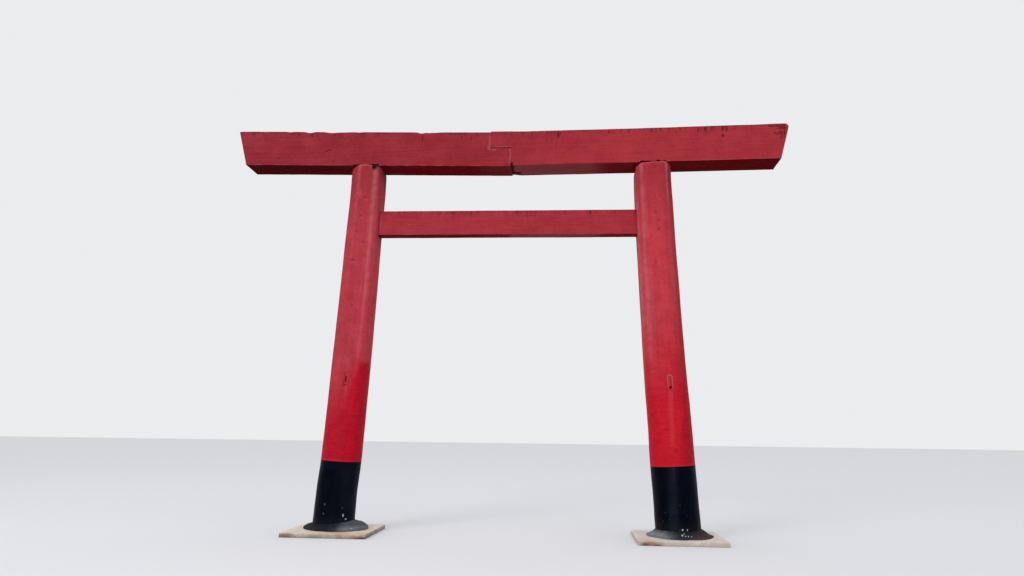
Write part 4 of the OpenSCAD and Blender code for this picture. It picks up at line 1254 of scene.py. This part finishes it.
def slot_cutter(post, grow_by, low, high, depth_to):
    """Cutter of the patch's width and some more, from low to high above the patch's foot;
    it has a round top where its height reaches the arch."""
    middle = patch_middle(post)[1]
    half = PATCH_W / 2 + grow_by
    foot = post["patch_foot"]
    if foot + high > middle:
        arch = [(half * math.cos(a), middle + half * math.sin(a)) for a in np.linspace(0, math.pi, 25)]
    else:
        arch = [(half, foot + high), (-half, foot + high)]
    return front_prism(post, [(half, foot + low)] + arch + [(-half, foot + low)], depth_to)


def round_rod(post, radius, up, depth_to):
    """Cutter for the hole of a patch, so much above its foot."""
    centre = post["patch_foot"] + up
    angles = np.linspace(0, 2 * math.pi, 25)[:-1]
    ring = [(radius * math.cos(a), centre + radius * math.sin(a)) for a in angles]
    return front_prism(post, ring, depth_to)


def tie_housing():
    """Cutter for the tie beam's housings in both posts, with a little play."""
    half = TIE_D / 2 + TIE_PLAY
    corners = [(x, y, z) for x in (-HOUSING_REACH, HOUSING_REACH) for y in (-half, half)
               for z in (TIE_Z - TIE_PLAY, TIE_Z + TIE_H + TIE_PLAY)]
    faces = [(0, 1, 3, 2), (4, 6, 7, 5), (0, 4, 5, 1), (2, 3, 7, 6), (0, 2, 6, 4), (1, 5, 7, 3)]
    return new_object("cutter", corners, faces)


def post_sizes(post):
    """Inputs of a post's rule, with its length under the sloping beam."""
    lean = math.radians(post["lean"])
    slope = math.cos(lean) + BEAM_RISE * math.sin(lean)
    seat = CLEAR_HEIGHT + post["lift"] + HEAD_HOUSING - SLAB_T + BEAM_RISE * POST_SPACING / 2
    return {"Side": float(post["side"]), "Lean": lean, "Length": seat / slope - post["drop"],
            "Taper Length": TAPER_LENGTH, "Foot X": POST_SPACING / 2, "Foot Z": SLAB_T,
            "Foot Radius": post["foot_r"], "Head Radius": post["head_r"],
            "Face Turn": math.radians(post["face_turn"]),
            "Head Shear": (BEAM_RISE * math.cos(lean) - math.sin(lean)) / slope + post["tilt"],
            "Band Height": BAND_H, "Seed": post["grain_seed"]}


def patch_face(post):
    """Depth at which the hewn front of a post lies at its patch."""
    turn = math.radians(post["face_turn"])
    flat = read_off(post["face_flat"], post["patch_foot"] + PATCH_H)
    return -(flat - math.sin(turn) * patch_middle(post)[0]) / math.cos(turn)


def shape_post(timber, post, marks):
    """Cuts the patch's recess, the tie beam's housing and the chip at the head, and dents the front."""
    cut(timber, slot_cutter(post, PATCH_PLAY, -PATCH_PLAY, PATCH_H, patch_face(post) + PATCH_T))
    cut(timber, tie_housing())
    if post["chip"]:
        left, right, deep = post["chip"]
        cut(timber, head_gap(post, (left - 0.014, 0.02), (left, -deep), (right, -deep / 2),
                             (right + 0.006, 0.02)))
    dented(timber, LOG_DENT_FRONT, marks["dark"] + marks["knots"], LOG_DENT)


def shape_patch(patch, post):
    """Cuts a patch out of a copy of its log, sinks it inside its rim, and cuts its hole and its slit."""
    face = patch_face(post)
    cut(patch, slot_cutter(post, 0.0, 0.0, PATCH_H, face + PATCH_T), "INTERSECT")
    cut(patch, slot_cutter(post, -PATCH_RIM, -0.1, PATCH_H, face + post["patch_recess"]))
    cut(patch, round_rod(post, post["hole_r"], PATCH_HOLE_Z, face + PATCH_T - HOLE_FLOOR))
    if post["slit"]:
        half, low, high, deep = post["slit"]
        cut(patch, slot_cutter(post, half - PATCH_W / 2, low, high, face + deep))


black_paint = band_paint()
for name, post in POSTS.items():
    tree, sizes = hewn_log_tree("hewn_log_" + name, post), post_sizes(post)
    timber = grow(new_object("post_%s_timber" % name, [], []), tree, **sizes)
    patch = new_object("patch_%s_timber" % name, [], [])
    patch.data = timber.data.copy()
    shape_post(timber, post, LOG_MARKS[name])
    shape_patch(patch, post)
    coat = log_paint("oil_paint_on_cypress_log_" + name, post, LOG_MARKS[name])
    for piece, node in ((timber, "post_" + name), (patch, "patch_" + name)):
        points = at_points(piece)
        across, along = log_frame(post, points[:, 0], points[:, 2])
        set_attribute(piece, "across", across)
        set_attribute(piece, "along", along)
        dress(piece, node, coat)

    sheath = new_object("root_band_%s_sheet" % name, [], [])
    grow(sheath, tree, **{**sizes, "Sheath": 1.0, "Rebate": 0.0, "Adze Depth": 0.0, "Waviness": 0.0015})
    wall = sheath.modifiers.new("wall", "SOLIDIFY")
    wall.thickness = BAND_T
    wall.offset = -1
    modified(sheath)
    dress(sheath, "root_band_" + name, black_paint)


# Tie beam

# Half its length, which ends inside the posts, how far from an end its first grid line runs, and how far
# its middle lies right of the gate's
TIE_REACH = 1.50
TIE_END = 0.05
TIE_SHIFT = 0.01
points, faces = hewn_block(edged_ruler(-TIE_REACH, TIE_REACH, TIE_END, 0.011),
                           edged_ruler(-TIE_D / 2, TIE_D / 2, SLIM_ARRIS),
                           edged_ruler(0, TIE_H, SLIM_ARRIS))
points = soften(points, faces, 2) + [TIE_SHIFT, 0, TIE_Z]
tie = new_object("nuki_timber", points, faces)
grow(tie, worked_face, **{"Scallop Depth": 0.0006, "Wave Depth": 0.001, "Seed": 5.0})
set_attribute(tie, "up", at_points(tie)[:, 2] - TIE_Z)
dress(tie, "nuki", beam_paint("oil_paint_on_hewn_cypress_tie", "nuki", TIE_H, TIE_D, TIE_Z))


# Mortar collars and stone slabs

# Mesh of a collar: points round it and steps up it; how far it reaches into the log and its lip out of it,
# how wide its foot is under the rim, how far that is undercut, how much the rim wanders, and its lumps
COLLAR_AROUND = 180
COLLAR_STEPS = 24
COLLAR_BORE = 0.022
LIP_WIDTH = 0.010
FOOT_WIDTH = 0.12
UNDERCUT = 0.003
RIM_WANDER = 0.006
LUMP = 0.0016

# Bites out of each edge of a slab, and the least and most that they reach and are deep
BITES = 5
BITE_REACH = (0.02, 0.06)
BITE_DEPTH = (0.003, 0.009)

rng = np.random.default_rng(11)


def collar(name, post):
    """Trowelled mortar flare round a post's foot: thin ragged rim, hollow flare, level lip."""
    middle = post["side"] * POST_SPACING / 2
    inner = post["foot_r"] - COLLAR_BORE
    lip_r = post["foot_r"] + LIP_WIDTH
    angles = np.linspace(-np.pi, np.pi, COLLAR_AROUND, endpoint=False)
    level = 0 * angles
    rim, edge, lip, flare = [read_off(post[key], np.degrees(angles))
                             for key in ("rim", "edge", "lip", "flare")]
    rim += sum(rng.normal(0, RIM_WANDER / n) * np.cos(n * angles + rng.uniform(0, 6.3)) for n in range(5, 30))
    rows = [(rim - FOOT_WIDTH, level), (rim - UNDERCUT, level), (rim, 0.4 * edge)]
    for i in range(COLLAR_STEPS + 1):
        t = i / COLLAR_STEPS
        lump = sum(LUMP * np.cos(n * angles + 7 * t + n * n) for n in (3, 5, 8, 13))
        height = edge + (lip - edge) * t ** flare + lump * math.sin(math.pi * t)
        rows.append((rim + (lip_r - rim) * max(t, 0.3 / COLLAR_STEPS), height))
    rows += [(inner + level, lip), (inner + level, level)]
    points = [(middle + r[k] * math.cos(a), r[k] * math.sin(a), SLAB_T + z[k])
              for r, z in rows for k, a in enumerate(angles)]
    starts = [i * COLLAR_AROUND for i in range(len(rows))]
    faces = [(row + k, row + (k + 1) % COLLAR_AROUND, after + (k + 1) % COLLAR_AROUND, after + k)
             for row, after in zip(starts, starts[1:] + starts[:1]) for k in range(COLLAR_AROUND)]
    return new_object("foot_collar_%s_mortar" % name, points, faces)


def slab(name, side):
    """Square granite slab with worn arrises and a few bites out of its upper edges."""
    half = SLAB_W / 2
    line = edged_ruler(-half, half, SLIM_ARRIS)
    points, faces = hewn_block(line, line, edged_ruler(0, SLAB_T, SLIM_ARRIS, 0.009))
    points = soften(points, faces, 2)
    points[:, 2] *= SLAB_T / points[:, 2].max()
    for turn in range(4):
        for place in rng.uniform(-half, half, BITES):
            spot = np.array([place, -half]) if turn % 2 else np.array([-half, place])
            spot = spot if turn < 2 else -spot
            near = fall(np.hypot(points[:, 0] - spot[0], points[:, 1] - spot[1]), rng.uniform(*BITE_REACH))
            bite = rng.uniform(*BITE_DEPTH) * near * np.clip(points[:, 2] / SLAB_T - 0.3, 0, 1)
            points[:, 2] -= bite
            points[:, :2] -= (bite * 0.8)[:, None] * np.sign(spot) * (np.abs(spot) > half - 0.001)
    points += [side * (POST_SPACING / 2 - SLAB_INSET), 0, 0]
    obj = new_object("base_slab_%s_stone" % name, points, faces)
    return grow(obj, worked_face, **{"Scallop Length": 0.09, "Scallop Width": 0.09, "Scallop Depth": 0.0005,
                                     "Wave Length": 0.12, "Wave Depth": 0.0009, "Seed": 20.0 + side})


FOOT_FINISHES = {
    "left": (mortar("cement_mortar_left", ("#0d0e12", "#26282f", "#2c2e35"), "#7e8088",
                    [(-2.2, 0.0), (-1.86, 0.05), (-1.72, 0.40), (-1.64, 0.95), (-1.40, 1.0)],
                    [(-2.2, 0.35), (-2.0, 0.50), (-1.88, 1.0), (-1.76, 0.95), (-1.68, 0.40), (-1.62, 0.05),
                     (-1.4, 0.0)],
                    [(-1.56, 0.075, 0.006, 0.006)]),
             granite("sawn_granite_left", ("#d8cbbd", "#e4d9cc", "#c2b2a3"), "#745443", 0.80,
                     ([(-2.20, 0.02, 0.10, 0.04), (-1.46, 0.01, 0.10, 0.02)], [(-1.40, 0.01, 0.05, 0.015)]),
                     [(-1.62, SLAB_T, 0.28, 0.03), (-1.42, SLAB_T, 0.12, 0.03)])),
    "right": (mortar("cement_mortar_right", ("#14161c", "#26282f", "#5c5e66"), "#868a95",
                     [(1.45, 1.0), (1.60, 0.95), (1.70, 0.45), (1.84, 0.12), (2.2, 0.10)],
                     [(1.45, 0.0), (1.64, 0.0), (1.74, 0.45), (1.84, 0.85), (1.94, 0.40), (2.2, 0.0)],
                     [(1.814, 0.084, 0.010, 0.008), (1.845, 0.078, 0.006, 0.005),
                      (1.873, 0.076, 0.006, 0.005), (1.905, 0.074, 0.005, 0.004),
                      (1.835, 0.098, 0.005, 0.005)]),
              granite("sawn_granite_right", ("#d4c7b9", "#e2d8cb", "#c2b2a3"), "#9c8877", 0.24,
                      ([(1.50, 0.018, 0.12, 0.030)],
                       [(1.43, 0.012, 0.05, 0.020), (1.55, 0.006, 0.05, 0.010)]),
                      [(1.44, SLAB_T, 0.10, 0.03), (1.42, SLAB_T, 0.05, 0.03)])),
}
for name, post in POSTS.items():
    dress(collar(name, post), "foot_collar_" + name, FOOT_FINISHES[name][0])
    dress(slab(name, post["side"]), "base_slab_" + name, FOOT_FINISHES[name][1])


# Floor, backdrop and light: colours that are seen, and others that light the gate
FLOOR_REACH = 60
SEEN_FLOOR = (0.70, 0.70, 0.71, 1)
LIGHTING_FLOOR = (0.11, 0.11, 0.11, 1)
SEEN_SKY = (0.83, 0.84, 0.86, 1)
LIGHTING_SKY = (0.94, 0.96, 1.0, 1)


def seen_directly(tree):
    """1 for rays that show a thing itself, mirrored or through glass, and 0 for rays that light others."""
    rays = add(tree, "ShaderNodeLightPath").outputs
    seen = add(tree, "ShaderNodeMath", rays["Is Camera Ray"], rays["Is Glossy Ray"], operation="MAXIMUM")
    return add(tree, "ShaderNodeMath", seen, rays["Is Transmission Ray"], operation="MAXIMUM")


corners = [(x * FLOOR_REACH, y * FLOOR_REACH, 0) for x, y in ((-1, -1), (1, -1), (1, 1), (-1, 1))]
floor = new_object("floor", corners, [(0, 1, 2, 3)])
pale, tree, shader = new_material("pale_floor")
plug(tree, shader, {"Base Color": layered(tree, LIGHTING_FLOOR, [(seen_directly(tree), SEEN_FLOOR)]),
                    "Roughness": 1.0, "Specular IOR Level": 0.0})
floor.data.materials.append(pale)
floor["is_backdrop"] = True

world = bpy.data.worlds.new("studio")
bpy.context.scene.world = world
world.use_nodes = True
tree = world.node_tree
glow = layered(tree, LIGHTING_SKY, [(seen_directly(tree), SEEN_SKY)])
plug(tree, tree.nodes["Background"], {"Color": glow, "Strength": 1.0})


def soft_lamp(name, place, aim, size, spread, watts):
    """A large soft area lamp at a place, aimed at a point; its spread keeps light off the floor below it."""
    lamp = bpy.data.objects.new(name, bpy.data.lights.new(name, "AREA"))
    lamp.data.shape = "DISK"
    lamp.data.size = size
    lamp.data.spread = math.radians(spread)
    lamp.data.energy = watts
    turn = (Vector(aim) - Vector(place)).to_track_quat("-Z", "Y")
    lamp.matrix_world = Matrix.Translation(place) @ turn.to_matrix().to_4x4()
    lamp.visible_camera = False
    bpy.context.collection.objects.link(lamp)


soft_lamp("front_left_lamp", place=(-12, -18, 12), aim=(0, 0, 2.4), size=12, spread=90, watts=488)
soft_lamp("low_front_lamp", place=(-1, -13, 2.2), aim=(0.2, 0, 1.2), size=3, spread=70, watts=31)

({"cad": [list(map(float, corner)) for corner in cad_box],
           "visual": [list(map(float, corner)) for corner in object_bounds()]})
